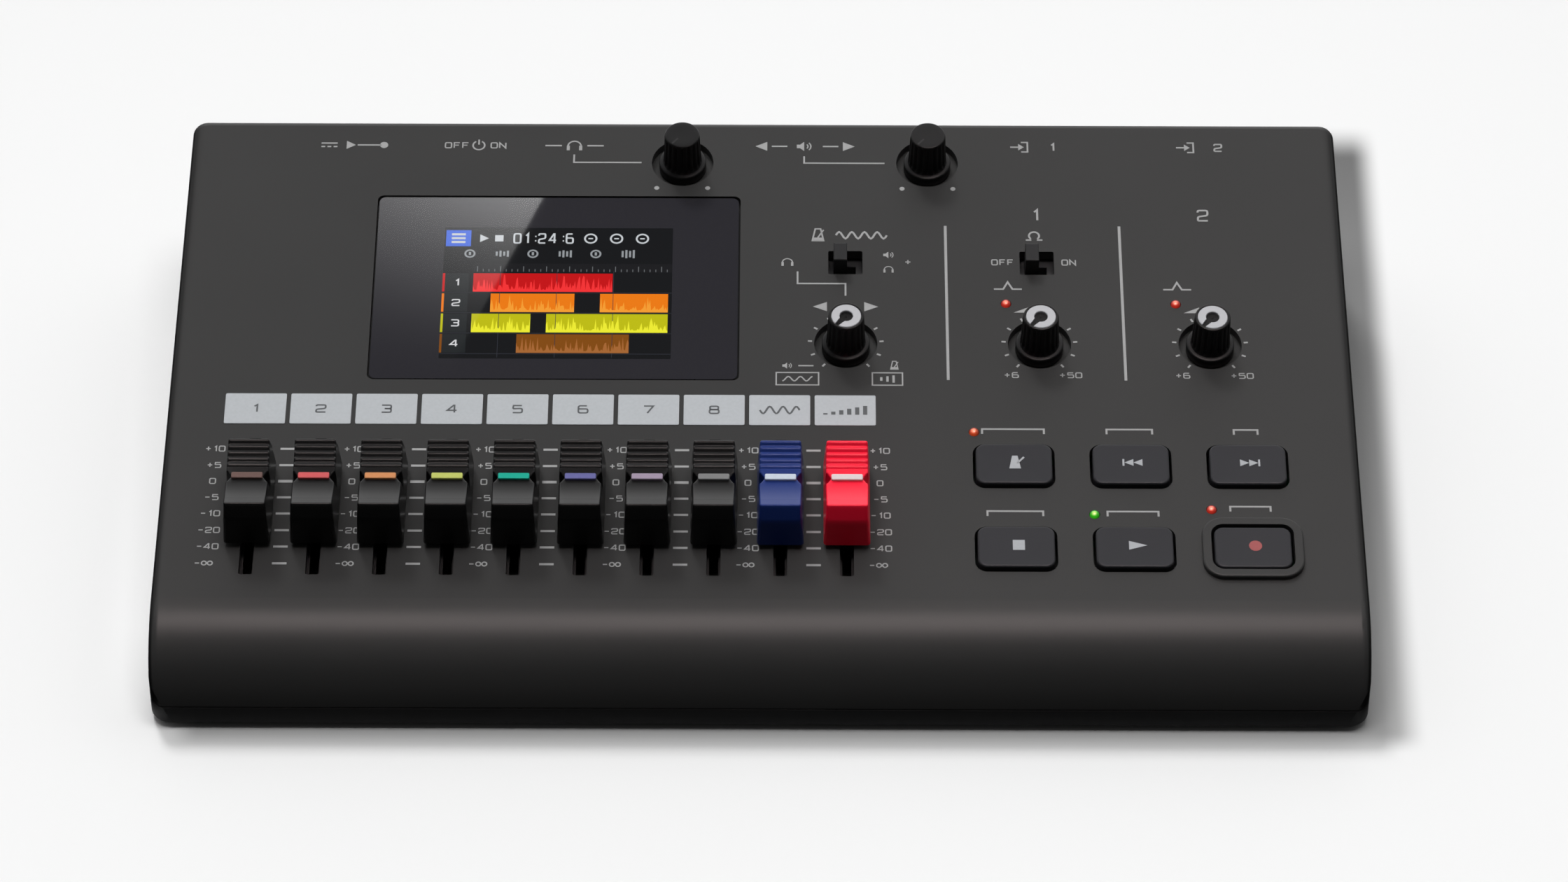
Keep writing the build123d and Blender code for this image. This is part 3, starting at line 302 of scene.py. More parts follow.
# Colours are in linear light
CAP_GLOSS = dict(roughness=0.32, grain=3400.0, relief=0.05, specular=0.28)
PLASTICS = {
    # The case carries painted shade on its side rims
    "case_plastic": dict(colour=(0.0368, 0.0364, 0.0362), roughness=0.36, specular=0.144, rims=True),
    "base_plastic": dict(colour=(0.026, 0.026, 0.027), roughness=0.45, specular=0.15),
    "key_plastic": dict(colour=(0.028, 0.028, 0.0315), roughness=0.36, grain=3200.0, relief=0.06,
                        specular=0.14),
    "knob_rubber": dict(colour=(0.004, 0.004, 0.0043), roughness=0.42, grain=3000.0, relief=0.15,
                        specular=0.24),
    "foot_rubber": dict(colour=(0.02, 0.02, 0.021), roughness=0.75, grain=1800.0, relief=0.3),
    "mat_rubber": dict(colour=(0.05, 0.05, 0.052), roughness=0.7, grain=1800.0, relief=0.2),
    "fader_black": dict(colour=(0.0052, 0.0052, 0.0054), **CAP_GLOSS),
    "fader_blue": dict(colour=(0.008, 0.026, 0.15), **CAP_GLOSS),
    "fader_red": dict(colour=(0.92, 0.005, 0.035), **CAP_GLOSS),
    "knob_white": dict(colour=(0.46, 0.46, 0.48), roughness=0.35, grain=3200.0, relief=0.04, drift=0.03,
                       specular=0.3),
    "switch_black": dict(colour=(0.02, 0.02, 0.021), roughness=0.38, grain=2600.0, relief=0.06,
                         specular=0.15),
    "socket_black": dict(colour=(0.014, 0.014, 0.015), roughness=0.36, grain=2600.0, relief=0.06),
    "display_black": dict(colour=(0.006, 0.006, 0.008), roughness=0.25, grain=3000.0, relief=0.02),
    "cell_wrap": dict(colour=(0.05, 0.055, 0.06), roughness=0.28, grain=900.0, relief=0.03),
    "card_black": dict(colour=(0.012, 0.012, 0.013), roughness=0.34, grain=3000.0, relief=0.05),
}
METALS = {
    "bright_steel": dict(colour=(0.55, 0.55, 0.56), roughness=0.34, direction=1),
    "blackened_steel": dict(colour=(0.035, 0.035, 0.036), roughness=0.5, direction=1),
    "port_steel": dict(colour=(0.62, 0.62, 0.63), roughness=0.28, direction=0),
    "black_screw": dict(colour=(0.09, 0.09, 0.095), roughness=0.42, direction=0),
}
INKS = {
    "panel_ink": dict(colour=grey(0.34)),
    "strip_white": dict(colour=(0.44, 0.46, 0.48), roughness=0.45),
    "strip_ink": dict(colour=(0.1, 0.105, 0.11)),
    "record_ink": dict(colour=(0.34, 0.09, 0.09)),
    "key_ink": dict(colour=(0.39, 0.4, 0.42)),
    "knob_line": dict(colour=grey(0.03)),
    "window_print": dict(colour=(0.028, 0.027, 0.032), roughness=0.015, specular=0.55),
}
BOARDS = {"circuit_board": dict(varnish=(0.008, 0.075, 0.03), copper=(0.03, 0.2, 0.07))}
PANES = {"window_glass": {}}
GLOWS = {
    "display_picture": dict(strength=0.9, roughness=0.015),
    "light_plastic": dict(strength=1.0, roughness=0.15),
}
MAKERS = (
    (moulded_plastic, PLASTICS),
    (brushed_metal, METALS),
    (ink, INKS),
    (circuit_board, BOARDS),
    (window_glass, PANES),
    (tinted_glow, GLOWS),
)
finishes = {name: make(name, **look) for make, looks in MAKERS for name, look in looks.items()}

# Finish of each CAD node, given by the first of these that its name holds
NODE_FINISHES = {
    "top_cover": "case_plastic",
    "bottom_cover": "base_plastic",
    "battery_door": "base_plastic",
    "battery_cells": "cell_wrap",
    "battery_contacts": "port_steel",
    "_board": "circuit_board",
    "fader_frames": "blackened_steel",
    "fader_lever": "blackened_steel",
    "pot_bodies": "bright_steel",
    "key_mat": "mat_rubber",
    "switch_bodies": "socket_black",
    "indicator_lights": "light_plastic",
    "display_window": "window_glass",
    "display_module": "display_black",
    "_jacks": "socket_black",
    "usb_port": "port_steel",
    "card_socket": "port_steel",
    "memory_card": "card_black",
    "power_slider": "switch_black",
    "_toggle": "switch_black",
    "case_screws": "black_screw",
    "rubber_feet": "foot_rubber",
    "_effect": "fader_blue",
    "_master": "fader_red",
    "fader_cap": "fader_black",
    "_key": "key_plastic",
    "knob_cap": "knob_white",
    "knob": "knob_rubber",
}

for name, node in frame["nodes"].items():
    finish = next(finish for part, finish in NODE_FINISHES.items() if part in name)
    node.data.materials.clear()
    node.data.materials.append(finishes[finish])


# Meshes
def grid_faces(rows, columns, close_columns=False):
    """Quads of a grid of points in row order; close_columns joins the last column to the first."""
    span = columns if close_columns else columns - 1
    row, column = np.meshgrid(np.arange(rows - 1), np.arange(span), indexing="ij")
    following = (column + 1) % columns
    quads = (row * columns + column, row * columns + following,
             (row + 1) * columns + following, (row + 1) * columns + column)
    return np.stack([q.ravel() for q in quads], axis=1)


def new_object(name, points, faces, finish, tints=None):
    """Mesh object at the origin from world points; tints gives one colour for each corner of each face."""
    mesh = bpy.data.meshes.new(name)
    faces = [list(map(int, face)) for face in faces]
    mesh.from_pydata(np.asarray(points, float).reshape(-1, 3).tolist(), [], faces)
    if tints is not None:
        layer = mesh.color_attributes.new(TINT, "FLOAT_COLOR", "CORNER")
        layer.data.foreach_set("color", np.column_stack((tints, np.ones(len(tints)))).ravel())
    mesh.materials.append(finish)
    thing = bpy.data.objects.new(name, mesh)
    bpy.context.scene.collection.objects.link(thing)
    return thing


def make_piece(name, points, faces, finish, body, tints=None, sharp=None):
    """Piece of the recorder that moves with a body; tints gives one colour for each face, and edges under
    the sharp angle, in degrees, are smooth."""
    if tints is not None:
        tints = np.repeat(np.asarray(tints, float), [len(face) for face in faces], axis=0)
    thing = new_object(name, points, faces, finishes[finish], tints)
    thing.data.validate()
    if sharp is not None:
        thing.data.polygons.foreach_set("use_smooth", np.ones(len(thing.data.polygons), bool))
        thing.data.set_sharp_from_angle(angle=math.radians(sharp))
    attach(thing, body)
    return thing


def recalculate(thing):
    """Turns every face of a closed mesh outwards."""
    work = bmesh.new()
    work.from_mesh(thing.data)
    bmesh.ops.remove_doubles(work, verts=work.verts, dist=0.000001)
    bmesh.ops.recalc_face_normals(work, faces=work.faces)
    work.to_mesh(thing.data)
    work.free()


def revolve(radii, heights, turns, squeeze=None):
    """Surface of revolution: point = (r cos a, r sin a, h), where r is the profile radius, and squeeze(a, h)
    is a length taken off it."""
    angle = np.arange(turns) / turns * math.tau
    radius, angle = np.meshgrid(np.asarray(radii, float), angle, indexing="ij")
    height = np.repeat(np.asarray(heights, float)[:, None], turns, axis=1)
    if squeeze is not None:
        radius = radius - squeeze(angle, height)
    points = np.stack((radius * np.cos(angle), radius * np.sin(angle), height), axis=-1)
    return points.reshape(-1, 3), grid_faces(len(radii), turns, True)


def arc_points(u, v, radius, angles):
    return np.column_stack((u + radius * np.cos(angles), v + radius * np.sin(angles)))


def box_points(u, v, width, height):
    x, y = width / 2, height / 2
    return [(u - x, v - y), (u + x, v - y), (u + x, v + y), (u - x, v + y)]


def rounded_outline(width, length, corner, count):
    """Closed outline of a rounded rectangle: each corner is a quarter arc round its own centre."""
    quarter = np.linspace(0, math.pi / 2, count)
    outline = []
    for k, (side_x, side_y) in enumerate(((1, 1), (-1, 1), (-1, -1), (1, -1))):
        centre = (side_x * (width / 2 - corner), side_y * (length / 2 - corner))
        outline.append(arc_points(*centre, corner, quarter + k * math.pi / 2))
    return np.concatenate(outline)


# Tightest corner of a pad's rings, and the shares of its rim at which they close over the top
SMALLEST_CORNER = 0.05
TOP_SHARES = (0.9, 0.75, 0.5, 0.25, 0.02)


def pad(width, length, corner, top, bottom, edge, dish=0.0, count=9):
    """Key-like pad: rings of one rounded outline, drawn in by an edge arc, that then close over a dished
    top. A ring at share s of the top lies at height top - dish * (1 - s * s)."""
    arc = np.linspace(0, math.pi / 2, 6)
    insets = np.concatenate(([0.0], edge * (1 - np.cos(arc))))
    heights = np.concatenate(([bottom], top - edge + edge * np.sin(arc)))
    rings = []
    for inset, height in zip(insets, heights):
        turn = max(corner - inset, SMALLEST_CORNER)
        ring = rounded_outline(width - 2 * inset, length - 2 * inset, turn, count)
        rings.append(np.column_stack((ring, np.full(len(ring), height))))
    rim = rings[-1]
    for share in TOP_SHARES:
        ring = rim.copy()
        ring[:, :2] *= share
        ring[:, 2] = top - dish * (1 - share * share)
        rings.append(ring)
    faces = grid_faces(len(rings), len(rim), True).tolist()
    last = (len(rings) - 1) * len(rim)
    faces.append(list(range(last, last + len(rim))))
    return np.concatenate(rings), faces


def rounded_run(corners, radius=0.22, steps=4):
    """Path through corners, each turned on a quadratic curve that starts a radius before it and ends one
    after."""
    corners = np.asarray(corners, float)
    path = [corners[0]]
    for before, here, after in zip(corners[:-2], corners[1:-1], corners[2:]):
        start = here + (before - here) / np.linalg.norm(before - here) * radius
        stop = here + (after - here) / np.linalg.norm(after - here) * radius
        for t in np.linspace(0, 1, steps):
            path.append((1 - t) ** 2 * start + 2 * t * (1 - t) * here + t * t * stop)
    path.append(corners[-1])
    return np.array(path)


# Glyph strokes in a box one wide and one high
NOUGHT = [rounded_run([(0.5, 1), (1, 1), (1, 0), (0, 0), (0, 1), (0.5, 1)])]
GLYPHS = {
    "0": NOUGHT,
    "1": [[(0.2, 0.78), (0.5, 1.0), (0.5, 0.0)]],
    "2": [rounded_run([(0, 0.8), (0, 1), (1, 1), (1, 0.52), (0, 0.38), (0, 0)], 0.18), [(0, 0), (1, 0)]],
    "3": [rounded_run([(0, 1), (1, 1), (1, 0.52), (0.3, 0.52)], 0.2),
          rounded_run([(0.3, 0.52), (1, 0.52), (1, 0), (0, 0)], 0.2)],
    "4": [[(1, 0.3), (0, 0.3), (0.66, 1), (0.76, 1), (0.76, 0)]],
    "5": [[(0.95, 1), (0.06, 1), (0, 0.56)], rounded_run([(0, 0.56), (1, 0.6), (1, 0), (0, 0)], 0.22)],
    "6": [rounded_run([(0.9, 1), (0, 1), (0, 0), (1, 0), (1, 0.56), (0, 0.56)], 0.22)],
    "7": [[(0, 1), (1, 1), (0.36, 0)]],
    "8": [rounded_run([(0.5, 1), (0.95, 1), (0.95, 0.53), (0.05, 0.53), (0.05, 1), (0.5, 1)], 0.2),
          rounded_run([(0.5, 0.53), (1, 0.53), (1, 0), (0, 0), (0, 0.53), (0.5, 0.53)], 0.2)],
    "+": [[(0.1, 0.5), (0.9, 0.5)], [(0.5, 0.12), (0.5, 0.88)]],
    "-": [[(0.15, 0.5), (0.9, 0.5)]],
    ":": [[(0.4, 0.24), (0.6, 0.24)], [(0.4, 0.72), (0.6, 0.72)]],
    "O": NOUGHT,
    "F": [[(0.05, 0), (0.05, 1), (0.95, 1)], [(0.05, 0.52), (0.8, 0.52)]],
    "N": [[(0, 0), (0, 1), (1, 0), (1, 1)]],
}
NARROW_GLYPHS = {"1": 0.72, ":": 0.6}
GLYPH_WIDTH = 0.78
GLYPH_GAP = 0.3
SHARPEST_MITRE = 0.3


class Print:
    """Flat shapes gathered on one plane in millimetres, made into one mesh. A shape's coat is its height
    over the plane and its colour, both of which may be left out."""

    def __init__(self):
        self.points = []
        self.faces = []
        self.tints = []

    def put(self, points, faces, lift=0.0, tint=WHITE):
        start = len(self.points)
        flat = np.asarray(points, float)[:, :2]
        self.points.extend(np.column_stack((flat, np.full(len(flat), lift))).tolist())
        self.faces.extend([[start + k for k in face] for face in faces])
        self.tints.extend([tint] * len(faces))

    def shape(self, outline, *coat):
        self.put(outline, [list(range(len(outline)))], *coat)

    def bar(self, u, v, width, height, *coat):
        self.shape(box_points(u, v, width, height), *coat)

    def line(self, path, width, *coat, closed=False):
        """Band along a path, mitred at its bends: each point moves along the mean normal of its two runs."""
        path = np.asarray(path, float)
        ahead = np.roll(path, -1, axis=0) - path
        behind = path - np.roll(path, 1, axis=0)
        if not closed:
            ahead[-1] = behind[-1]
            behind[0] = ahead[0]
        ahead /= np.linalg.norm(ahead, axis=1, keepdims=True)
        behind /= np.linalg.norm(behind, axis=1, keepdims=True)
        mean = ahead + behind
        mean /= np.linalg.norm(mean, axis=1, keepdims=True)
        stretch = 1.0 / np.maximum(np.sum(mean * ahead, axis=1), SHARPEST_MITRE)
        side = np.column_stack((-mean[:, 1], mean[:, 0])) * (stretch * width / 2)[:, None]
        count = len(path)
        steps = range(count if closed else count - 1)
        quads = [[k + count, (k + 1) % count + count, (k + 1) % count, k] for k in steps]
        self.put(np.concatenate((path + side, path - side)), quads, *coat)

    def arc(self, u, v, radius, width, start, end, *coat, count=24):
        self.line(arc_points(u, v, radius, np.radians(np.linspace(start, end, count))), width, *coat)

    def disc(self, u, v, radius, *coat, count=24):
        self.shape(arc_points(u, v, radius, np.arange(count) / count * math.tau), *coat)

    def frame(self, u, v, width, height, line_width, *coat):
        self.line(box_points(u, v, width, height), line_width, *coat, closed=True)

    def text(self, words, u, v, height, *coat, widen=1.0, weight=0.16):
        """Plain technical lettering centred on a spot, each glyph a few strokes of one width."""
        width = height * GLYPH_WIDTH * widen
        gap = height * GLYPH_GAP
        places = [NARROW_GLYPHS.get(letter, 1.0) for letter in words]
        left = u - (sum(places) * (width + gap) - gap) / 2
        for letter, place in zip(words, places):
            for stroke in GLYPHS[letter]:
                path = np.asarray(stroke, float)
                closed = bool(np.allclose(path[0], path[-1]))
                rise = (path[:, 1] - 0.5) * height * (1 - weight)
                points = np.column_stack((left + path[:, 0] * width, v + rise))
                self.line(points[:-1] if closed else points, weight * height, *coat, closed=closed)
            left += (width + gap) * place

    def build(self, name, finish, body, slot, lift, u=0.0, v=0.0, tinted=False):
        points = on_panel(np.asarray(self.points) + (0.0, 0.0, lift), u, v)
        return make_piece(name, points, self.faces, finish, body, self.tints if tinted else None)


# Signs, each drawn round a spot from shapes whose sizes are shares of the sign's own size
def placed(u, v, size, points):
    return np.asarray(points, float) * size + (u, v)


def headphones(sheet, u, v, size):
    sheet.arc(u, v - 0.1 * size, 0.42 * size, 0.1 * size, 0, 180)
    for side in SIDES:
        sheet.bar(u + side * 0.4 * size, v - 0.26 * size, 0.2 * size, 0.4 * size)


def loudspeaker(sheet, u, v, size):
    horn = [(-0.5, -0.16), (-0.28, -0.16), (0, -0.42), (0, 0.42), (-0.28, 0.16), (-0.5, 0.16)]
    sheet.shape(placed(u, v, size, horn))
    for radius, count in ((0.26, 8), (0.46, 10)):
        sheet.arc(u, v, radius * size, 0.09 * size, -45, 45, count=count)


def power_sign(sheet, u, v, size):
    sheet.arc(u, v, 0.4 * size, 0.11 * size, -240, 60)
    sheet.bar(u, v + 0.3 * size, 0.11 * size, 0.46 * size)


def direct_current(sheet, u, v, size):
    sheet.bar(u, v + 0.16 * size, 1.1 * size, 0.12 * size)
    for k in (-1, 0, 1):
        sheet.bar(u + k * 0.42 * size, v - 0.16 * size, 0.26 * size, 0.12 * size)


METRONOME_CASE = [(-0.36, -0.5), (0.36, -0.5), (0.17, 0.5), (-0.17, 0.5)]


def metronome(sheet, u, v, size):
    """Metronome in outline."""
    sheet.line(placed(u, v, size, METRONOME_CASE), 0.1 * size, closed=True)
    sheet.bar(u, v - 0.36 * size, 0.6 * size, 0.26 * size)
    sheet.line(placed(u, v, size, [(-0.02, -0.26), (0.36, 0.42)]), 0.1 * size)


def solid_metronome(sheet, u, v, size):
    """Metronome with a solid case, for a small sign."""
    sheet.shape(placed(u, v, size, METRONOME_CASE))
    sheet.line(placed(u, v, size, [(0.12, -0.1), (0.56, 0.4)]), 0.12 * size)


def plug_in(sheet, u, v, size):
    """Arrow into a socket."""
    sheet.bar(u - 0.5 * size, v, 0.7 * size, 0.14 * size)
    sheet.shape(placed(u, v, size, [(-0.22, -0.34), (0.22, 0), (-0.22, 0.34)]))
    sheet.line(placed(u, v, size, [(0, 0.5), (0.5, 0.5), (0.5, -0.5), (0, -0.5)]), 0.13 * size)


def triangle(sheet, u, v, width, height, pointing, *coat):
    """Triangle that points right (1) or left (-1)."""
    x, y = width / 2 * pointing, height / 2
    corners = [(u - x, v - y), (u + x, v), (u - x, v + y)]
    sheet.shape(corners if pointing > 0 else corners[::-1], *coat)


def wave_sign(sheet, u, v, width, height, line_width, cycles):
    x = np.linspace(-0.5, 0.5, 33)
    sheet.line(np.column_stack((u + x * width, v + np.sin(x * cycles * math.tau) * height / 2)), line_width)


def infinity_sign(sheet, u, v):
    """Minus sign and a lying eight, two rings side by side, in millimetres."""
    sheet.bar(u - 1.7, v, 0.9, 0.28)
    for side in SIDES:
        sheet.arc(u + 0.35 + side * 0.62, v, 0.5, 0.28, 0, 360)


# Printed legends of the panel: where they stand and how large they are, in millimetres
INK_LIFT = 0.03
DIGIT = 1.6
HAIR = 0.38
DASH = (3.0, 0.55)
NOUGHT_DASH = (DASH[0], 1.25 * DASH[1])
SCALE_SHIFT = 0.1
SCALE_WIDEN = 0.95
END_SCALE_SHIFT = -1.5
SCALE_MARKS = (("+10", 39.2), ("+5", 34.8), ("0", 30.5), ("-5", 26.2), ("-10", 21.9), ("-20", 17.5),
               ("-40", 13.2), ("-inf", 8.8))

KNOB_TICK_ANGLES = [28.4 * k for k in range(-5, 6)]
KNOB_TICK = (7.2, 8.1)
KNOB_TICK_WIDTH = 0.42
VOLUME_DOT = (5.55, -7.4, 0.55)

CLICK_ROW_V = 91.6
BOX_ROW_V = 58.8
PHONES_SIGN_U = -41.2
OUTPUT_SIGN_U = 9.2
OUTPUT_ARROWS_U = 9.4
SWITCH_SIGN_U = 59.0

# Number of each input, printed twice: shift from its column, v, height, widening and weight
INPUT_NUMBERS = ((0.0, 105.2, 3.4, 0.8, 0.13), (4.2, SOCKET_ROW_V, 2.4, 0.85, 0.16))

# Ends of each gain knob's scale: letters, shift from its column and v
INPUT_ENDS = (("+6", -6.2, 60.0), ("+50", 6.4, 60.0))

# Plug, peak and ramp signs of each input: shift from its column and v, and their size or points
PLUG_PLACE = (-2.6, SOCKET_ROW_V)
PLUG_SIZE = 2.8
PEAK_PLACE = (-6.4, 84.0)
PEAK_POINTS = ((-3, 0), (-1, 0), (0, 2), (1, 0), (3, 0))
RAMP_PLACE = (-3.6, 77.4)
RAMP_POINTS = ((-1.7, 0), (1.7, 0), (1.7, 1.6))

# What draws the sign, its place and its size
SIGNS = (
    (direct_current, -95.0, SOCKET_ROW_V, 3.2),
    (power_sign, -62.2, SOCKET_ROW_V, 3.2),
    (headphones, PHONES_SIGN_U, SOCKET_ROW_V + 0.2, 3.4),
    (loudspeaker, OUTPUT_SIGN_U, SOCKET_ROW_V, 3.2),
    (metronome, 12.2, 99.3, 3.4),
    (headphones, 5.6, CLICK_ROW_V, 2.6),
    (loudspeaker, 27.4, CLICK_ROW_V + 2.0, 2.2),
    (headphones, 27.4, CLICK_ROW_V - 2.0, 2.2),
    (loudspeaker, 5.6, 62.4, 2.0),
    (metronome, 28.4, 62.6, 2.2),
)

# Letters, place, height and how much they are widened
WORDS = (
    ("OFF", -67.0, SOCKET_ROW_V, 1.8, 0.95),
    ("ON", -57.9, SOCKET_ROW_V, 1.8, 0.95),
    ("OFF", 52.0, CLICK_ROW_V, 1.7, 0.9),
    ("ON", 66.3, CLICK_ROW_V, 1.7, 0.9),
)

# Place, width and height
BARS = (
    (-86.2, SOCKET_ROW_V, 5.2, 0.4),
    (31.6, CLICK_ROW_V, 1.1, 0.3),
    (31.6, CLICK_ROW_V, 0.3, 1.1),
    (9.6, 62.4, 3.2, 0.35),
    (39.8, 80.3, 0.6, 43.4),
    (77.5, 80.3, 0.6, 43.4),
    *((PHONES_SIGN_U + side * 4.6, SOCKET_ROW_V, 3.6, 0.4) for side in SIDES),
    *((OUTPUT_ARROWS_U + side * 5.6, SOCKET_ROW_V, 3.4, 0.4) for side in SIDES),
    *((SWITCH_SIGN_U + side * 1.2, 98.0, 1.2, 0.4) for side in SIDES),
    *((25.6 + 1.3 * k, BOX_ROW_V, 0.5, 1.0 + 0.5 * k) for k in range(3)),
)

# Place, width, height and the way that it points
ARROWS = (
    (-90.2, SOCKET_ROW_V, 2.0, 2.4, 1),
    (12.6, 78.9, 3.0, 2.6, -1),
    (23.6, 78.9, 3.0, 2.6, 1),
    *((OUTPUT_ARROWS_U + side * 9.6, SOCKET_ROW_V, 2.6, 2.6, side) for side in SIDES),
)

# Place, width, height, line width and number of waves
WAVES = (
    (21.6, 99.2, 11.0, 1.9, 0.45, 4.0),
    (7.8, BOX_ROW_V, 6.4, 1.2, 0.3, 2.5),
)

# Leader lines from a sign to its knob
LEADERS = (
    ((PHONES_SIGN_U, 122.4), (PHONES_SIGN_U, VOLUME_ROW_V), (-26.4, VOLUME_ROW_V)),
    ((OUTPUT_SIGN_U, 122.1), (OUTPUT_SIGN_U, VOLUME_ROW_V), (26.8, VOLUME_ROW_V)),
    ((7.8, 88.8), (7.8, 85.4), (BALANCE_U, 85.4), (BALANCE_U, 82.0)),
)

# Place, width, height and line width of the boxes under the balance knob
BOXES = (
    (7.8, BOX_ROW_V, 9.0, 3.4, 0.3),
    (26.9, BOX_ROW_V, 6.4, 3.4, 0.3),
)

# Height on the panel and width of the group line over each key
KEY_LINES = (
    ((45.2, 13.0), (45.2, 9.6), (45.2, 5.0)),
    ((23.2, 11.6), (23.2, 10.6), (24.6, 8.4)),
)
KEY_LINE_TICK = 1.3
KEY_LINE_WIDTH = 0.42

# Dot by the power socket: place and radius; arc over the click switch: place, radius, line width and angles
POWER_DOT = (-83.0, SOCKET_ROW_V, 0.9)
SWITCH_ARC = (SWITCH_SIGN_U, 99.2, 1.1, 0.4, -50, 230)


def fader_scales(legend):
    """Number columns beside every second fader and dash columns between the others."""
    for k in range(FADER_COUNT + 1):
        u = FIRST_FADER_U + FADER_PITCH * (k - 0.5) + (0 if k else END_SCALE_SHIFT)
        for words, v in SCALE_MARKS:
            if k % 2:
                legend.bar(u, v, *(NOUGHT_DASH if words == "0" else DASH))
            elif words == "-inf":
                infinity_sign(legend, u, v)
            else:
                legend.text(words, u + SCALE_SHIFT, v, DIGIT, widen=SCALE_WIDEN)


def knob_marks(legend):
    """Ticks round the lower knobs, at angles clockwise from the top, and two dots under each volume knob."""
    for u in (BALANCE_U, *GAIN_US):
        for angle in KNOB_TICK_ANGLES:
            a = math.radians(90 - angle)
            tick = [(u + r * math.cos(a), KNOB_ROW_V + r * math.sin(a)) for r in KNOB_TICK]
            legend.line(tick, KNOB_TICK_WIDTH)
    across_u, down_v, radius = VOLUME_DOT
    for u in (PHONES_U, OUTPUT_U):
        for side in SIDES:
            legend.disc(u + side * across_u, VOLUME_ROW_V + down_v, radius)


def input_legends(legend):
    """Numbers and plug signs of the two inputs, and the scale, peak and ramp signs of their gain knobs."""
    for number, u in zip("12", GAIN_US):
        for shift, v, height, widen, weight in INPUT_NUMBERS:
            legend.text(number, u + shift, v, height, widen=widen, weight=weight)
        for words, shift, v in INPUT_ENDS:
            legend.text(words, u + shift, v, DIGIT)
        plug_in(legend, u + PLUG_PLACE[0], PLUG_PLACE[1], PLUG_SIZE)
        legend.line(placed(u + PEAK_PLACE[0], PEAK_PLACE[1], 1.0, PEAK_POINTS), 0.4)
        legend.shape(placed(u + RAMP_PLACE[0], RAMP_PLACE[1], 1.0, RAMP_POINTS))


def key_lines(legend):
    """Group lines over the keys, each with a tick down at both ends."""
    for line_row in KEY_LINES:
        for u, (v, width) in zip(KEY_US, line_row):
            low, high, foot = u - width / 2, u + width / 2, v - KEY_LINE_TICK
            legend.line([(low, foot), (low, v), (high, v), (high, foot)], KEY_LINE_WIDTH)


def panel_legends():
    """Everything printed on the panel itself, as one piece."""
    legend = Print()
    fader_scales(legend)
    knob_marks(legend)
    input_legends(legend)
    key_lines(legend)
    for draw, u, v, size in SIGNS:
        draw(legend, u, v, size)
    for words, u, v, height, widen in WORDS:
        legend.text(words, u, v, height, widen=widen)
    for bar in BARS:
        legend.bar(*bar)
    for arrow in ARROWS:
        triangle(legend, *arrow)
    for wave in WAVES:
        wave_sign(legend, *wave)
    for leader in LEADERS:
        legend.line(leader, HAIR)
    for box in BOXES:
        legend.frame(*box)
    legend.disc(*POWER_DOT)
    legend.arc(*SWITCH_ARC)
    legend.build("panel_legends", "panel_ink", "case", "case_plastic", INK_LIFT)


# Write-on strips over the faders
FIRST_STRIP_U = -106.65
STRIP_PITCH = 13.84
STRIP_SIZE = (12.9, 8.2)
STRIP_LIFT = 0.12
STRIP_MARK_LIFT = 0.14
NUMBERED_STRIPS = 8
STRIP_DIGIT = 2.3
STRIP_WIDEN = 1.1

# Wave: width, height, line width and number of waves; stair: bars, rise, width, pitch and its first foot
STRIP_WAVE = (8.4, 1.9, 0.42, 3.0)
STAIR_COUNT = 6
STAIR_RISE = 0.4
STAIR_WIDTH = 0.9
STAIR_PITCH = 1.68
STAIR_FOOT = (-4.2, -1.2)


def label_strips():
    """Ten pale strips, eight with a number, one with a wave and one with a stair of bars."""
    strip, quads = pad(*STRIP_SIZE, corner=0.3, top=STRIP_LIFT, bottom=0.0, edge=0.05, count=3)
    us = [FIRST_STRIP_U + STRIP_PITCH * k for k in range(FADER_COUNT)]
    points = np.concatenate([strip + (u, LABEL_V, 0.0) for u in us])
    faces = [[k * len(strip) + n for n in face] for k in range(FADER_COUNT) for face in quads]
    make_piece("label_strips", on_panel(points), faces, "strip_white", "case", sharp=40)
    marks = Print()
    for k, u in enumerate(us[:NUMBERED_STRIPS]):
        marks.text(str(k + 1), u, LABEL_V, STRIP_DIGIT, widen=STRIP_WIDEN)
    wave_u, stair_u = us[NUMBERED_STRIPS:]
    wave_sign(marks, wave_u, LABEL_V, *STRIP_WAVE)
    for n in range(STAIR_COUNT):
        height = STAIR_RISE * (n + 1)
        u = stair_u + STAIR_FOOT[0] + STAIR_PITCH * n
        marks.bar(u, LABEL_V + STAIR_FOOT[1] + height / 2, STAIR_WIDTH, height)
    marks.build("label_marks", "strip_ink", "case", "case_plastic", STRIP_MARK_LIFT)


# Display picture, a generic set of tracks on a dark screen; drops are measured down from its upper edge
SCREEN_MID = (-43.9, 82.7)
SCREEN_SIZE = (49.4, 36.9)
SCREEN_LEFT = SCREEN_MID[0] - SCREEN_SIZE[0] / 2
SCREEN_TOP = SCREEN_MID[1] + SCREEN_SIZE[1] / 2
PICTURE_LIFT = -0.19
MENU_DROP = 3.0
METER_DROP = 7.4
RULER_DROP = 11.4
TRACK_DROP = 15.6
TRACK_PITCH = 5.7
BLOCK_HEIGHT = TRACK_PITCH - 0.5

# Menu bar: places measured from the screen's left edge, and sizes
MENU_U = 3.0
MENU_SIZE = (5.4, 4.6)
MENU_LINE_RISES = (0.0, 1.1, -1.1)
MENU_LINE_SIZE = (3.0, 0.6)
PLAY_U = 8.6
PLAY_SIZE = (1.9, 2.2)
STOP_U = 11.8
STOP_SIZE = (1.8, 1.8)
CLOCK_U = 21.4
CLOCK_SIZE = (12.4, 4.4)
CLOCK_DIGIT = 3.0
BADGE_US = (31.6, 37.2, 42.8)
BADGE_RING = (1.25, 0.4)
BADGE_BAR = (1.0, 0.35)

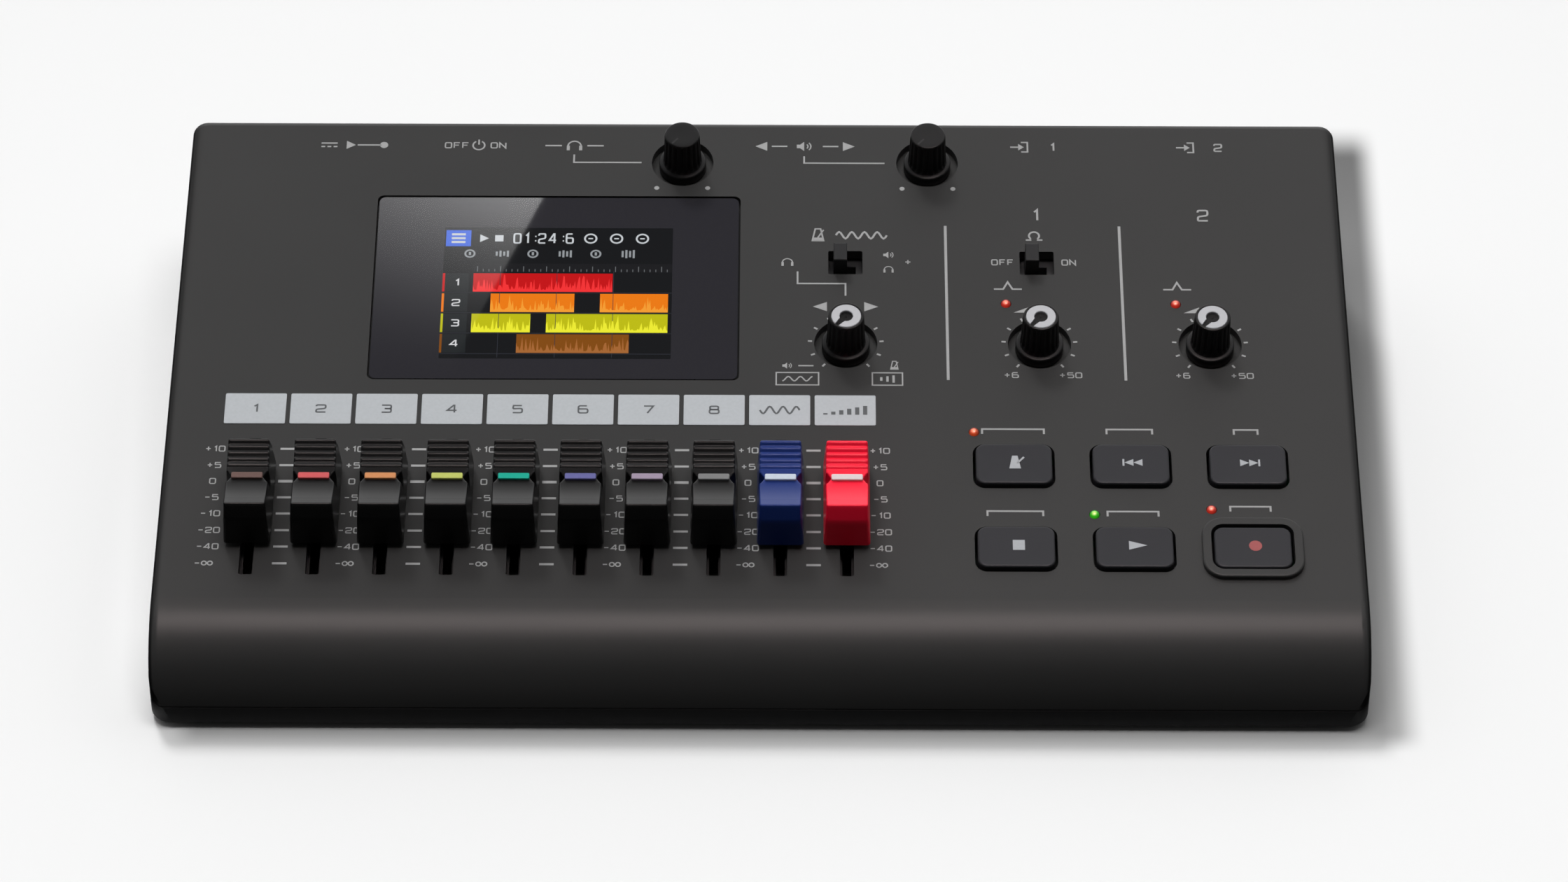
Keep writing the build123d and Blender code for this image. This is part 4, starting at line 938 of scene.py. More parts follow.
# Meters: their dials, and the bars beside each
METER_US = (5.6, 19.2, 32.8)
METER_RING = (1.0, 0.4)
METER_HAND = (0.5, 0.9)
METER_BAR_START = 5.8
METER_BAR_PITCH = 0.8
METER_BAR_WIDTH = 0.45

# Ruler: the part left of it, its height, and its ticks
RULER_MARGIN = 6.4
RULER_HEIGHT = 2.4
RULER_FIRST = 7.4
RULER_PITCH = 1.24
RULER_TICKS = 34
RULER_FOOT = -1.1
TICK_WIDTH = 0.16
LONG_TICK = 1.5
SHORT_TICK = 0.7

# Tracks: head, colour mark and number at the left, and the grid lines across them
HEAD_U = 2.9
HEAD_WIDTH = 5.4
COLOUR_WIDTH = 0.5
NUMBER_U = 3.1
NUMBER_HEIGHT = 2.0
SEAM_WIDTH = 0.14
GRID_US = (12.4, 24.6, 36.8)
GRID_WIDTH = 0.12
GRID_DROP = 6.0
GRID_MARGIN = 12.6

# Heights over the picture's plane of its blocks, lines, grid, marks and marks on marks
BLOCK = 0.01
SEAM = 0.015
GRID = 0.018
MARK = 0.02
TOP_MARK = 0.03

SCREEN_DARK = (0.002, 0.0025, 0.004)
SCREEN_BLACK = (0.002, 0.002, 0.003)
SCREEN_LINE = (0.03, 0.033, 0.045)
SCREEN_PALE = (0.62, 0.65, 0.68)
SCREEN_DULL = (0.32, 0.34, 0.36)
MENU_BLUE = (0.05, 0.15, 0.75)
RULER_BACK = (0.006, 0.006, 0.008)
RULER_TICK = (0.16, 0.17, 0.18)
TRACK_HEAD = (0.011, 0.014, 0.016)
TRACK_NUMBER = (0.7, 0.7, 0.72)

# A clip's envelope is lighter than the clip by this factor and this much
ENVELOPE_GAIN = 1.6
ENVELOPE_LIFT = 0.03

# Colour of each track, and from where and for how long each of its clips runs
TRACKS = (
    ((0.6, 0.0, 0.002), ((6.6, 30.0),)),
    ((0.92, 0.21, 0.0), ((10.5, 18.0), (34.0, 14.6))),
    ((0.56, 0.55, 0.0), ((6.6, 12.6), (22.6, 26.0))),
    ((0.24, 0.07, 0.0), ((16.4, 24.0),)),
)


def clip(picture, u, v, width, height, colour, seed, cycles):
    """Coloured block of sound with a lighter ragged envelope along its foot."""
    picture.bar(u, v, width, height, BLOCK, colour)
    count = int(width * 4)
    rng = np.random.default_rng(seed)
    steps = np.linspace(-0.5, 0.5, count)
    swell = 0.6 + 0.4 * np.abs(np.sin(steps * cycles * math.pi))
    envelope = 0.1 + 0.85 * swell * rng.random(count) ** 2.5
    foot = v - height / 2
    top = np.column_stack((u + steps * width, foot + height * envelope))
    low = np.column_stack((u + steps * width, np.full(count, foot)))
    light = tuple(min(1.0, ENVELOPE_GAIN * c + ENVELOPE_LIFT) for c in colour)
    quads = [[k + count, k + count + 1, k + 1, k] for k in range(count - 1)]
    picture.put(np.concatenate((top, low)), quads, MARK, light)


def menu_bar(picture, left, v):
    """Menu block with three lines, play and stop signs, the time and three round signs."""
    picture.bar(left + MENU_U, v, *MENU_SIZE, BLOCK, MENU_BLUE)
    for rise in MENU_LINE_RISES:
        picture.bar(left + MENU_U, v + rise, *MENU_LINE_SIZE, MARK, SCREEN_PALE)
    triangle(picture, left + PLAY_U, v, *PLAY_SIZE, 1, MARK, SCREEN_PALE)
    picture.bar(left + STOP_U, v, *STOP_SIZE, MARK, SCREEN_PALE)
    picture.bar(left + CLOCK_U, v, *CLOCK_SIZE, BLOCK, SCREEN_BLACK)
    picture.text("01:24:6", left + CLOCK_U, v, CLOCK_DIGIT, MARK, SCREEN_PALE, widen=0.6, weight=0.13)
    for u in BADGE_US:
        picture.arc(left + u, v, *BADGE_RING, 0, 360, MARK, SCREEN_PALE)
        picture.bar(left + u, v, *BADGE_BAR, TOP_MARK, SCREEN_PALE)


def meter_row(picture, left, v):
    """Three small dials, each with four bars beside it that are taller from dial to dial."""
    for k, dial_u in enumerate(METER_US):
        u = left + dial_u
        picture.arc(u, v, *METER_RING, 0, 360, MARK, SCREEN_DULL)
        picture.bar(u, v, *METER_HAND, TOP_MARK, SCREEN_DULL)
        for n in range(4):
            height = 1.2 + 0.5 * (n % 2) + 0.3 * k
            bar_u = u + METER_BAR_START + METER_BAR_PITCH * n
            picture.bar(bar_u, v, METER_BAR_WIDTH, height, MARK, SCREEN_DULL)


def time_ruler(picture, left, v):
    """Dark band with a tick for each beat and a longer one for every fourth."""
    width = SCREEN_SIZE[0] - RULER_MARGIN
    picture.bar(SCREEN_MID[0] + RULER_MARGIN / 2, v, width, RULER_HEIGHT, BLOCK, RULER_BACK)
    for k in range(RULER_TICKS):
        tall = SHORT_TICK if k % 4 else LONG_TICK
        u = left + RULER_FIRST + RULER_PITCH * k
        picture.bar(u, v + RULER_FOOT + tall / 2, TICK_WIDTH, tall, MARK, RULER_TICK)


def track(picture, left, v, k, colour, clips):
    """Seam, head, colour mark and number of track k, and its clips."""
    width = SCREEN_SIZE[0]
    picture.bar(SCREEN_MID[0], v - TRACK_PITCH / 2, width, SEAM_WIDTH, SEAM, SCREEN_LINE)
    picture.bar(left + HEAD_U, v, HEAD_WIDTH, BLOCK_HEIGHT, BLOCK, TRACK_HEAD)
    picture.bar(left + COLOUR_WIDTH / 2, v, COLOUR_WIDTH, BLOCK_HEIGHT, MARK, colour)
    picture.text(str(k + 1), left + NUMBER_U, v, NUMBER_HEIGHT, MARK, TRACK_NUMBER)
    for n, (start, span) in enumerate(clips):
        length = min(span, width - start)
        clip(picture, left + start + span / 2, v, length, BLOCK_HEIGHT, colour, 7 * k + n, 9 + 4 * k)


def display_picture():
    """Menu, meters, ruler and four tracks on a dark screen."""
    picture = Print()
    picture.bar(*SCREEN_MID, *SCREEN_SIZE, 0.0, SCREEN_DARK)
    menu_bar(picture, SCREEN_LEFT, SCREEN_TOP - MENU_DROP)
    meter_row(picture, SCREEN_LEFT, SCREEN_TOP - METER_DROP)
    time_ruler(picture, SCREEN_LEFT, SCREEN_TOP - RULER_DROP)
    for k, (colour, clips) in enumerate(TRACKS):
        track(picture, SCREEN_LEFT, SCREEN_TOP - TRACK_DROP - TRACK_PITCH * k, k, colour, clips)
    grid_v = SCREEN_MID[1] - GRID_DROP
    grid_height = SCREEN_SIZE[1] - GRID_MARGIN
    for u in GRID_US:
        picture.bar(SCREEN_LEFT + u, grid_v, GRID_WIDTH, grid_height, GRID, SCREEN_LINE)
    picture.build("display_picture", "display_picture", "case", "display", PICTURE_LIFT, tinted=True)


# Window print: middle, size, corner and bare edge of the pane
WINDOW_MID = (-44.1, 84.3)
WINDOW_SIZE = (79.0, 52.0)
WINDOW_CORNER = 1.4
WINDOW_EDGE = 0.4
MASK_LIFT = -0.17


def window_mask():
    """Black print round the screen, on the back of the pane: rings from the pane's rounded edge to the
    opening."""
    width, height = (size - 2 * WINDOW_EDGE for size in WINDOW_SIZE)
    outer = rounded_outline(width, height, WINDOW_CORNER, 12) + WINDOW_MID
    inner = rounded_outline(*SCREEN_SIZE, 0.2, 12) + SCREEN_MID
    points = np.concatenate((inner, outer))
    points = np.column_stack((points, np.full(len(points), MASK_LIFT)))
    faces = grid_faces(2, len(outer), True)
    make_piece("window_mask", on_panel(points), faces, "window_print", "case")


# Fader caps
CAP_FOOT = 10.95
CAP_SHOULDER = 10.2
CAP_CREST = 8.65
CAP_HALF_FOOT = 4.85
CAP_HALF_CREST = 4.25
CAP_FOOT_LIFT = 1.3
CAP_SHOULDER_LIFT = 8.3
CAP_CREST_LIFT = 11.8
CAP_SADDLE = 2.0
CAP_CORNER = 0.7
CAP_EDGE = 0.4
CREST_BLEND = 0.35
CREST_REACH = 2.0
WAIST_DEPTH = 1.05
WAIST_HALF = 1.5
RIB_PITCH = 1.3
RIB_FIRST = 2.3
RIB_COUNT = 5
RIB_RISE = 0.28
POINTER_COLOURS = {
    "1": (0.14, 0.085, 0.075),
    "2": (0.6, 0.1, 0.105),
    "3": (0.6, 0.25, 0.1),
    "4": (0.5, 0.54, 0.13),
    "5": (0.006, 0.37, 0.27),
    "6": (0.13, 0.13, 0.33),
    "7": (0.34, 0.27, 0.36),
    "8": (0.2, 0.2, 0.2),
    "effect": (0.55, 0.61, 0.7),
    "master": (0.72, 0.62, 0.62),
}


def smooth_step(x):
    x = np.clip(x, 0.0, 1.0)
    return x * x * (3 - 2 * x)


def straight(x, start, stop, low, high):
    """Height at x of the straight line from (start, low) through (stop, high)."""
    return low + (x - start) / (stop - start) * (high - low)


def cap_height(v):
    """Top outline of a cap at distance v from its middle: saddle arc between the crests, ribs on its far
    half, then the splayed end walls. A crest is rounded by blending the arc into the wall."""
    distance = np.abs(v)
    radius = (CAP_CREST * CAP_CREST + CAP_SADDLE * CAP_SADDLE) / (2 * CAP_SADDLE)
    inside = np.clip(distance, 0, CAP_CREST)
    saddle = CAP_CREST_LIFT - CAP_SADDLE + radius - np.sqrt(radius * radius - inside * inside)
    ribbed = (v > RIB_FIRST) & (v < RIB_FIRST + RIB_COUNT * RIB_PITCH)
    wave = 0.5 - 0.5 * np.cos((v - RIB_FIRST) / RIB_PITCH * math.tau)
    saddle = saddle + np.where(ribbed, RIB_RISE * (wave ** 0.6 - 0.5), 0.0)
    wall_high = straight(distance, CAP_CREST, CAP_SHOULDER, CAP_CREST_LIFT, CAP_SHOULDER_LIFT)
    wall_low = straight(distance, CAP_SHOULDER, CAP_FOOT, CAP_SHOULDER_LIFT, CAP_FOOT_LIFT)
    wall = np.where(distance < CAP_SHOULDER, wall_high, wall_low)
    gap = wall - saddle
    blended = (wall + saddle - np.sqrt(gap * gap + CREST_BLEND)) / 2
    return np.where(distance < CAP_CREST - CREST_REACH, saddle, blended)


def cap_half_width(v, w):
    """Half width of a cap at (v, w): tapered, pinched at its middle and rounded at its upright corners."""
    half = straight(w, CAP_FOOT_LIFT, CAP_CREST_LIFT, CAP_HALF_FOOT, CAP_HALF_CREST)
    pinch = np.clip(1 - np.abs(v) / WAIST_HALF, 0, 1) ** 0.8
    half = half - WAIST_DEPTH * pinch * smooth_step(w - CAP_SHOULDER_LIFT + 1.4)
    end_low = straight(w, CAP_FOOT_LIFT, CAP_SHOULDER_LIFT, CAP_FOOT, CAP_SHOULDER)
    end_high = straight(w, CAP_SHOULDER_LIFT, CAP_CREST_LIFT, CAP_SHOULDER, CAP_CREST)
    end = np.where(w < CAP_SHOULDER_LIFT, end_low, end_high)
    near = np.clip(CAP_CORNER - (end - np.abs(v)), 0, CAP_CORNER)
    return half - (CAP_CORNER - np.sqrt(np.maximum(CAP_CORNER ** 2 - near ** 2, 0)))


def cap_stations():
    """Places of the sections along a cap, closer together at its waist, crests and corners."""
    middle = np.linspace(-CAP_CREST + 0.3, CAP_CREST - 0.3, 150)
    waist = np.linspace(-WAIST_HALF, WAIST_HALF, 17)
    ends = np.concatenate((
        np.linspace(CAP_CREST - 0.3, CAP_CREST + 0.4, 7)[1:],
        np.linspace(CAP_CREST + 0.6, CAP_SHOULDER, 5),
        np.linspace(CAP_SHOULDER, CAP_FOOT - 0.02, 7)[1:],
        [CAP_FOOT],
    ))
    return np.unique(np.round(np.concatenate((-ends, middle, waist, ends)), 5))


def cap_surface():
    """Cap as sections across its length: each climbs one side from the foot, rounds over the top edge,
    crosses and comes down the other side."""
    stations = cap_stations()
    top = np.maximum(cap_height(stations), CAP_FOOT_LIFT + 0.02)
    edge = np.minimum(CAP_EDGE, (top - CAP_FOOT_LIFT) * 0.45)
    arc = np.linspace(0, math.pi / 2, 6)[1:]
    side_w = CAP_FOOT_LIFT + (top - edge - CAP_FOOT_LIFT)[:, None] * np.linspace(0, 1, 9)[None, :]
    side_x = cap_half_width(stations[:, None], side_w)
    round_w = (top - edge)[:, None] + edge[:, None] * np.sin(arc)[None, :]
    round_x = side_x[:, -1:] - edge[:, None] * (1 - np.cos(arc))[None, :]
    across_share = np.linspace(1, 0, 5)[1:]
    flat_x = round_x[:, -1:] * across_share[None, :]
    flat_w = np.repeat(top[:, None], len(across_share), axis=1)
    half_x = np.concatenate((side_x, round_x, flat_x), axis=1)
    half_w = np.concatenate((side_w, round_w, flat_w), axis=1)
    x = np.concatenate((half_x, -half_x[:, -2::-1]), axis=1)
    w = np.concatenate((half_w, half_w[:, -2::-1]), axis=1)
    v = np.repeat(stations[:, None], x.shape[1], axis=1)
    rows, columns = x.shape
    faces = grid_faces(rows, columns).tolist()
    faces.append(list(range(columns))[::-1])
    faces.append(list(range((rows - 1) * columns, rows * columns)))
    faces.append([r * columns for r in range(rows)] + [(r + 1) * columns - 1 for r in reversed(range(rows))])
    return np.stack((x, v, w), axis=-1).reshape(-1, 3), faces


def fader_caps():
    """A cap on each fader and the coloured line across its waist."""
    points, faces = cap_surface()
    line, line_faces = pad(6.5, 1.55, corner=0.3, top=0.55, bottom=-0.4, edge=0.2, count=4)
    line = line + (0.0, 0.0, cap_height(np.array([0.0]))[0])
    for k, (name, colour) in enumerate(POINTER_COLOURS.items()):
        u = FIRST_FADER_U + FADER_PITCH * k
        body = "fader_" + name
        node = "fader_cap_" + name
        slot = {"effect": "fader_blue", "master": "fader_red"}.get(name, "fader_black")
        cap = make_piece("cap_" + name, on_panel(points, u, FADER_MID_V), faces, slot, body, sharp=38)
        recalculate(cap)
        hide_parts(node)
        pointer = "pointer_" + name
        finishes[pointer] = ink(pointer, colour, 0.35)
        make_piece(pointer, on_panel(line, u, FADER_MID_V), line_faces, pointer, body, sharp=40)


# Knobs
SKIRT_RADIUS = 5.1
SKIRT_SINK = 1.8
SKIRT_LIFT = 0.4
BARREL_FOOT = 4.15
BARREL_TOP = 3.8
KNOB_LIFT = 9.2
KNOB_EDGE = 0.35
FLUTES = 18
FLUTE_DEPTH = 0.35
SEAT_RADIUS = 3.22
SEAT_DEPTH = 0.5
REST_ANGLE = math.radians(140.0)
KNOBS = {
    "phones": (PHONES_U, VOLUME_ROW_V, False),
    "output": (OUTPUT_U, VOLUME_ROW_V, False),
    "balance": (BALANCE_U, KNOB_ROW_V, True),
    "gain_1": (GAIN_US[0], KNOB_ROW_V, True),
    "gain_2": (GAIN_US[1], KNOB_ROW_V, True),
}

# Pale disc of a seated knob: radii, thickness, rounding and half the width of its gap
DISC_OUTER = 3.17
DISC_INNER = 1.42
DISC_THICK = 0.5
DISC_GAP = 0.72
DISC_TURNS = 60


def flute(angle, height):
    """Depth of the scallops round the barrel: a raised cosine in the angle, faded out near skirt and rim."""
    share = smooth_step((height - SKIRT_LIFT - 0.5) / 0.5) * smooth_step((KNOB_LIFT - 0.25 - height) / 0.4)
    groove = (0.5 - 0.5 * np.cos(angle * FLUTES)) ** 2
    return FLUTE_DEPTH * groove * share


def knob_surface(seated):
    """Skirt, ledge, fluted barrel and top; the top is sunk where a pale disc is seated in it."""
    climb = np.linspace(SKIRT_LIFT + 0.7, KNOB_LIFT - 0.4, 16)
    arc = np.linspace(0, math.pi / 2, 6)[1:]
    profile = [
        (SKIRT_RADIUS - 0.15, -SKIRT_SINK),
        (SKIRT_RADIUS, -SKIRT_SINK + 0.15),
        (SKIRT_RADIUS, SKIRT_LIFT - 0.1),
        (SKIRT_RADIUS - 0.1, SKIRT_LIFT + 0.15),
        (SKIRT_RADIUS - 0.35, SKIRT_LIFT + 0.25),
        (BARREL_FOOT + 0.1, SKIRT_LIFT + 0.3),
        (BARREL_FOOT, SKIRT_LIFT + 0.45),
        *zip(straight(climb, SKIRT_LIFT, KNOB_LIFT, BARREL_FOOT, BARREL_TOP), climb),
        *zip(BARREL_TOP - KNOB_EDGE * (1 - np.cos(arc)), KNOB_LIFT - KNOB_EDGE + KNOB_EDGE * np.sin(arc)),
    ]
    if seated:
        profile += [
            (SEAT_RADIUS + 0.06, KNOB_LIFT),
            (SEAT_RADIUS, KNOB_LIFT - 0.06),
            (SEAT_RADIUS, KNOB_LIFT - SEAT_DEPTH),
            (0.01, KNOB_LIFT - SEAT_DEPTH),
        ]
    else:
        profile += [(2.5, KNOB_LIFT - 0.02), (0.01, KNOB_LIFT - 0.04)]
    radii, heights = zip(*profile)
    return revolve(radii, heights, FLUTES * 12, flute)


def pointer_disc():
    """Pale ring with a gap for the pointer: an annulus section carried round, closed at both ends of the
    gap, which narrows outwards."""
    section = np.array((
        (DISC_INNER, 0.0),
        (DISC_INNER, DISC_THICK - 0.1),
        (DISC_INNER + 0.1, DISC_THICK),
        (DISC_OUTER - 0.12, DISC_THICK),
        (DISC_OUTER, DISC_THICK - 0.12),
        (DISC_OUTER, 0.0),
    ))
    radii = section[:, 0]
    heights = section[:, 1] + KNOB_LIFT - DISC_THICK + 0.02
    share = np.linspace(0, 1, DISC_TURNS)
    edge = np.arcsin(straight(radii, DISC_INNER, DISC_OUTER, DISC_GAP, 0.65 * DISC_GAP) / radii)
    angle = math.pi / 2 + edge[None, :] + share[:, None] * (math.tau - 2 * edge[None, :])
    x = radii[None, :] * np.cos(angle)
    y = radii[None, :] * np.sin(angle)
    height = np.repeat(heights[None, :], DISC_TURNS, axis=0)
    columns = len(section)
    faces = grid_faces(DISC_TURNS, columns).tolist()
    faces.append(list(range(columns)))
    faces.append(list(range((DISC_TURNS - 1) * columns, DISC_TURNS * columns))[::-1])
    return np.stack((x, y, height), axis=-1).reshape(-1, 3), faces


def turned(points, angle):
    """Points turned about the knob's own axis."""
    c, s = math.cos(angle), math.sin(angle)
    x, y, z = points.T
    return np.column_stack((x * c - y * s, x * s + y * c, z))


def knobs():
    """Five fluted grips, three with a pale disc in the top and two with a printed line."""
    disc, disc_faces = pointer_disc()
    for name, (u, v, seated) in KNOBS.items():
        points, faces = knob_surface(seated)
        node = name.replace("gain", "gain_knob") if "gain" in name else name + "_knob"
        body = "knob_" + name
        knob = make_piece("grip_" + name, on_panel(points, u, v), faces, "knob_rubber", body,
                          sharp=50)
        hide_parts(node)
        if seated:
            cap = make_piece("disc_" + name, on_panel(turned(disc, REST_ANGLE), u, v), disc_faces,
                             "knob_white", body, sharp=40)
            recalculate(cap)
            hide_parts(node.replace("knob", "knob_cap"))
        else:
            line = Print()
            line.line([(-math.sin(REST_ANGLE) * r, math.cos(REST_ANGLE) * r) for r in (1.4, 3.4)], 0.4)
            line.build("pointer_line_" + name, "knob_line", body, "knob_black", KNOB_LIFT + 0.01, u, v)


# Keys and their signs
KEY_SIZE = (16.0, 10.6)
KEY_CORNER = 2.0
KEY_LIFT = 1.0
KEY_ROOT = -2.3
KEY_EDGE = 0.45
KEY_DISH = 0.12
KEY_SIGN_GAP = 0.05
KEY_SIGN_PLACE = (0.5, 0.4)
FORWARD_SIGN_PLACE = (0.25, 0.4)

# Signs: metronome's shift and size; skip arrows' shift and size, and their bar's shift and size
CLICK_SIGN = (-0.3, 0.0, 3.4)
SKIP_SHIFT = 0.95
SKIP_SIZE = (1.9, 1.8)
SKIP_BAR_SHIFT = 2.1
SKIP_BAR_SIZE = (0.4, 1.8)
STOP_SQUARE = (2.5, 2.6)
PLAY_SHIFT = 0.2
PLAY_ARROW = (3.8, 2.3)
RECORD_RADIUS = 1.35


def key_signs():
    """Flat signs printed on the keys, each round its key's own middle."""
    signs = {name: Print() for name in ("click", "rewind", "forward", "stop", "play", "record")}
    solid_metronome(signs["click"], *CLICK_SIGN)
    for side, name in zip(SIDES, ("rewind", "forward")):
        for u in (-side * SKIP_SHIFT, side * SKIP_SHIFT):
            triangle(signs[name], u, 0, *SKIP_SIZE, side)
        signs[name].bar(side * SKIP_BAR_SHIFT, 0, *SKIP_BAR_SIZE)
    signs["stop"].bar(0, 0, *STOP_SQUARE)
    triangle(signs["play"], PLAY_SHIFT, 0, *PLAY_ARROW, 1)
    signs["record"].disc(0, 0, RECORD_RADIUS, count=40)
    return signs


def keys():
    """Two rows of three keys with their signs."""
    points, faces = pad(*KEY_SIZE, KEY_CORNER, KEY_LIFT, KEY_ROOT, KEY_EDGE, KEY_DISH, count=12)
    for k, (name, sign) in enumerate(key_signs().items()):
        u = KEY_US[k % 3]
        v = KEY_VS[k // 3]
        body = name + "_press"
        key = make_piece("keytop_" + name, on_panel(points, u, v), faces, "key_plastic", body,
                         sharp=40)
        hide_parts(name + "_key")
        finish = "record_ink" if name == "record" else "key_ink"
        shift_u, shift_v = FORWARD_SIGN_PLACE if name == "forward" else KEY_SIGN_PLACE
        lift = KEY_LIFT - KEY_DISH + KEY_SIGN_GAP
        sign.build("sign_" + name, finish, body, "key_grey", lift, u + shift_u, v + shift_v)


# Indicator lights: places and colours, the domes, and the bright spot in each
LIGHT_RED = (0.85, 0.04, 0.02)
LIGHT_ORANGE = (0.85, 0.09, 0.02)
LIGHT_GREEN = (0.05, 0.75, 0.01)
LIGHTS = (
    (GAIN_US[0] - 6.9, KNOB_ROW_V + 11.3, LIGHT_RED),
    (GAIN_US[1] - 6.9, KNOB_ROW_V + 11.3, LIGHT_RED),
    (45.0, 44.4, LIGHT_ORANGE),
    (69.7, 22.4, LIGHT_GREEN),
    (94.1, 23.8, LIGHT_RED),
)
LIGHT_RADIUS = 1.05
DOME_FOOT = -0.1
DOME_RISE = 0.85
STEM_FOOT = -2.2
HOT_PLACE = (-0.1, -0.15)
HOT_SIZE = 0.6
HOT_GLOW = (0.9, 0.45, 0.3)


def lights():
    """Domed light pipes: profile r = R cos a, h = R sin a over a short straight stem."""
    arc = np.linspace(0, math.pi / 2, 9)
    radii = np.concatenate(([LIGHT_RADIUS], LIGHT_RADIUS * np.cos(arc)))
    radii[-1] = 0.01
    heights = np.concatenate(([STEM_FOOT], DOME_FOOT + DOME_RISE * np.sin(arc)))
    dome, quads = revolve(radii, heights, 32)
    middle = dome[quads].mean(axis=1)
    spread = np.linalg.norm(middle[:, :2] - HOT_PLACE, axis=1)[:, None] / LIGHT_RADIUS
    hot = np.clip(1 - spread / HOT_SIZE, 0, 1) * (middle[:, 2:] > 0) * HOT_GLOW
    rim = np.clip(1.15 - spread, 0.15, 1)
    points = np.concatenate([on_panel(dome, u, v) for u, v, _ in LIGHTS])
    faces = np.concatenate([quads + k * len(dome) for k in range(len(LIGHTS))])
    tints = np.concatenate([rim * colour + hot for _, _, colour in LIGHTS])
    domes = make_piece("light_domes", points, faces, "light_plastic", "case", tints, sharp=60)
    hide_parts("indicator_lights")


panel_legends()
label_strips()
window_mask()
display_picture()
fader_caps()
knobs()
keys()
lights()

# Floor: its paint, and the painted shadow and the paler strip of painted light on it, in metres
FLOOR_REACH = 3.0
FLOOR_PALE = 0.84
FLOOR_BOUNCE = 0.05
SHADE_SIDES = (-0.117, 0.136, -0.0772, 0.1168)
SHADE_BLUR = 0.0034
SHADE_REAR_BLUR = 0.0064
SHADE_DEPTH = 0.6
SHADE_RISE = 1.8
SHADE_SKEW = 0.0214
PAINTED_LIGHT_LEVEL = 0.3
PAINTED_LIGHT_EDGES = ((-0.1335, 0.008), (-0.121, 0.003))
PAINTED_LIGHT_ENDS = ((-0.058, 0.014), (0.062, 0.016))

# World, lamps and cards: their levels of light, and their places in metres
WORLD_FRONT = 0.065
WORLD_REAR = 1.1
WORLD_TURN = (0.35, 0.65)
SUN_LEVEL = 1.4
SUN_RUN = (0.28, -0.75, -1.0)
SUN_SPREAD = math.radians(12)
SOFTBOX_LEVEL = 8.4
SOFTBOX_SIZE = (0.6, 0.34)
SOFTBOX_PLACE = (0.0, -0.02, 1.1)
SOFTBOX_AIM = (0.0, -0.02, 0.0)
REAR_CARD_LEVEL = 2.3
REAR_CARD_TURN = (-40, 40)
REAR_CARD_RISE = (16, 38)
REAR_CARD_DISTANCE = 1.3

# Card at the edge of the pane's reflection, in millimetres of the panel, and how it fades
WINDOW_CARD_LEVEL = 4.2
WINDOW_CARD_UPPER = (-47.3, 111.0)
WINDOW_CARD_LOWER = (-67.0, 59.0)
WINDOW_CARD_LEFT = -88.0
WINDOW_CARD_REACH = 0.9
WINDOW_CARD_DIM = 0.42
WINDOW_CARD_FADE = 2.2
WINDOW_FLAG_SPAN = ((-95.0, 25.0), (50.0, 120.0))
WINDOW_FLAG_REACH = 1.0

# Flat sheets of the set that only gloss picks up: x and y from and to, height, and light given off
NOSE_LIGHT = (12.4, 10.664, 10.416)
SHEETS = {
    "nose_card": ((-0.4, 0.4), (-0.32, 0.08), 1.05, NOSE_LIGHT),
    "front_flag": ((-1.4, 1.4), (-0.078, -1.378), 0.0005, BLACK),
    "left_flag": ((-0.1275, -1.4275), (-0.078, 0.822), 0.0005, BLACK),
    "right_flag": ((0.1275, 1.4275), (-0.078, 0.822), 0.0005, BLACK),
    "display_flag": ((-0.13, 0.02), (-0.045, 0.08), 0.185, BLACK),
}

# Camera: its lens, and its distances and angles over the panel
IMAGE_WIDTH = 2240
FOCAL_PIXELS = 8076.0
SENSOR_WIDTH = 36.0
VIEW_DISTANCE = 1188.7
VIEW_RISE = math.radians(51.0)
VIEW_ROLL = math.radians(0.2)
VIEW_AIM = (5.0, 41.8)
VIEW_CLIP = (0.05, 20.0)


def painted_floor_shadow(finish):
    """Painted shadow: a soft dark rectangle round the recorder's foot, a smooth step across each side,
    deeper towards the rear. A paler strip of painted light on its left makes up for the light that the case
    keeps off the floor there."""
    x, y, _ = finish.axes()
    left, right, front, rear = SHADE_SIDES
    sides = (
        (x - y * SHADE_SKEW - left, SHADE_BLUR),
        (y * SHADE_SKEW + right - x, SHADE_BLUR),
        (y - front, SHADE_BLUR),
        (rear - y, SHADE_REAR_BLUR),
    )
    # Painted shadow: the dark rectangle reaching out to the right, front and rear of the case
    inside = 1.0
    for depth, blur in sides:
        step = depth.above(0.0, blur)
        inside = step * step * (3.0 - step * 2.0) * inside
    # Painted light: a paler strip beside the case's left side that lifts the shade there
    strip = x.above(*PAINTED_LIGHT_EDGES[0]) ** 2.0 * (1.0 - x.above(*PAINTED_LIGHT_EDGES[1]))
    strip = strip * y.above(*PAINTED_LIGHT_ENDS[0]) * (1.0 - y.above(*PAINTED_LIGHT_ENDS[1]))
    return inside * (y * SHADE_RISE + SHADE_DEPTH) - strip * PAINTED_LIGHT_LEVEL


def floor():
    """Large pale floor that takes the recorder's soft shadow and carries the painted shadow and painted
    light strip round its foot. What it throws back at the case is held down, as black cloth beside a set
    does, so that the front stays as dark as the photograph has it."""
    finish = Finish("floor_paint")
    cloud = finish.noise(scale=2.0)
    rays = finish.add("ShaderNodeLightPath").outputs
    seen = Field(finish, rays["Is Camera Ray"]) + Field(finish, rays["Is Glossy Ray"])
    seen = seen + Field(finish, rays["Is Transmission Ray"])
    # Floor paint with the painted shadow and the painted light strip in it
    pale = 1.0 - painted_floor_shadow(finish)
    level = cloud * 0.01 + FLOOR_BOUNCE + seen.above(0.5, 0.1) * (pale * FLOOR_PALE - FLOOR_BOUNCE)
    tone = finish.blend(level, BLACK, WHITE)
    material = finish.surface(base_color=tone, roughness=0.9, specular_ior_level=0.0)
    corners = [(x, y, 0) for x, y in box_points(0, 0, 2 * FLOOR_REACH, 2 * FLOOR_REACH)]
    thing = new_object("floor", corners, [(0, 1, 2, 3)], material)


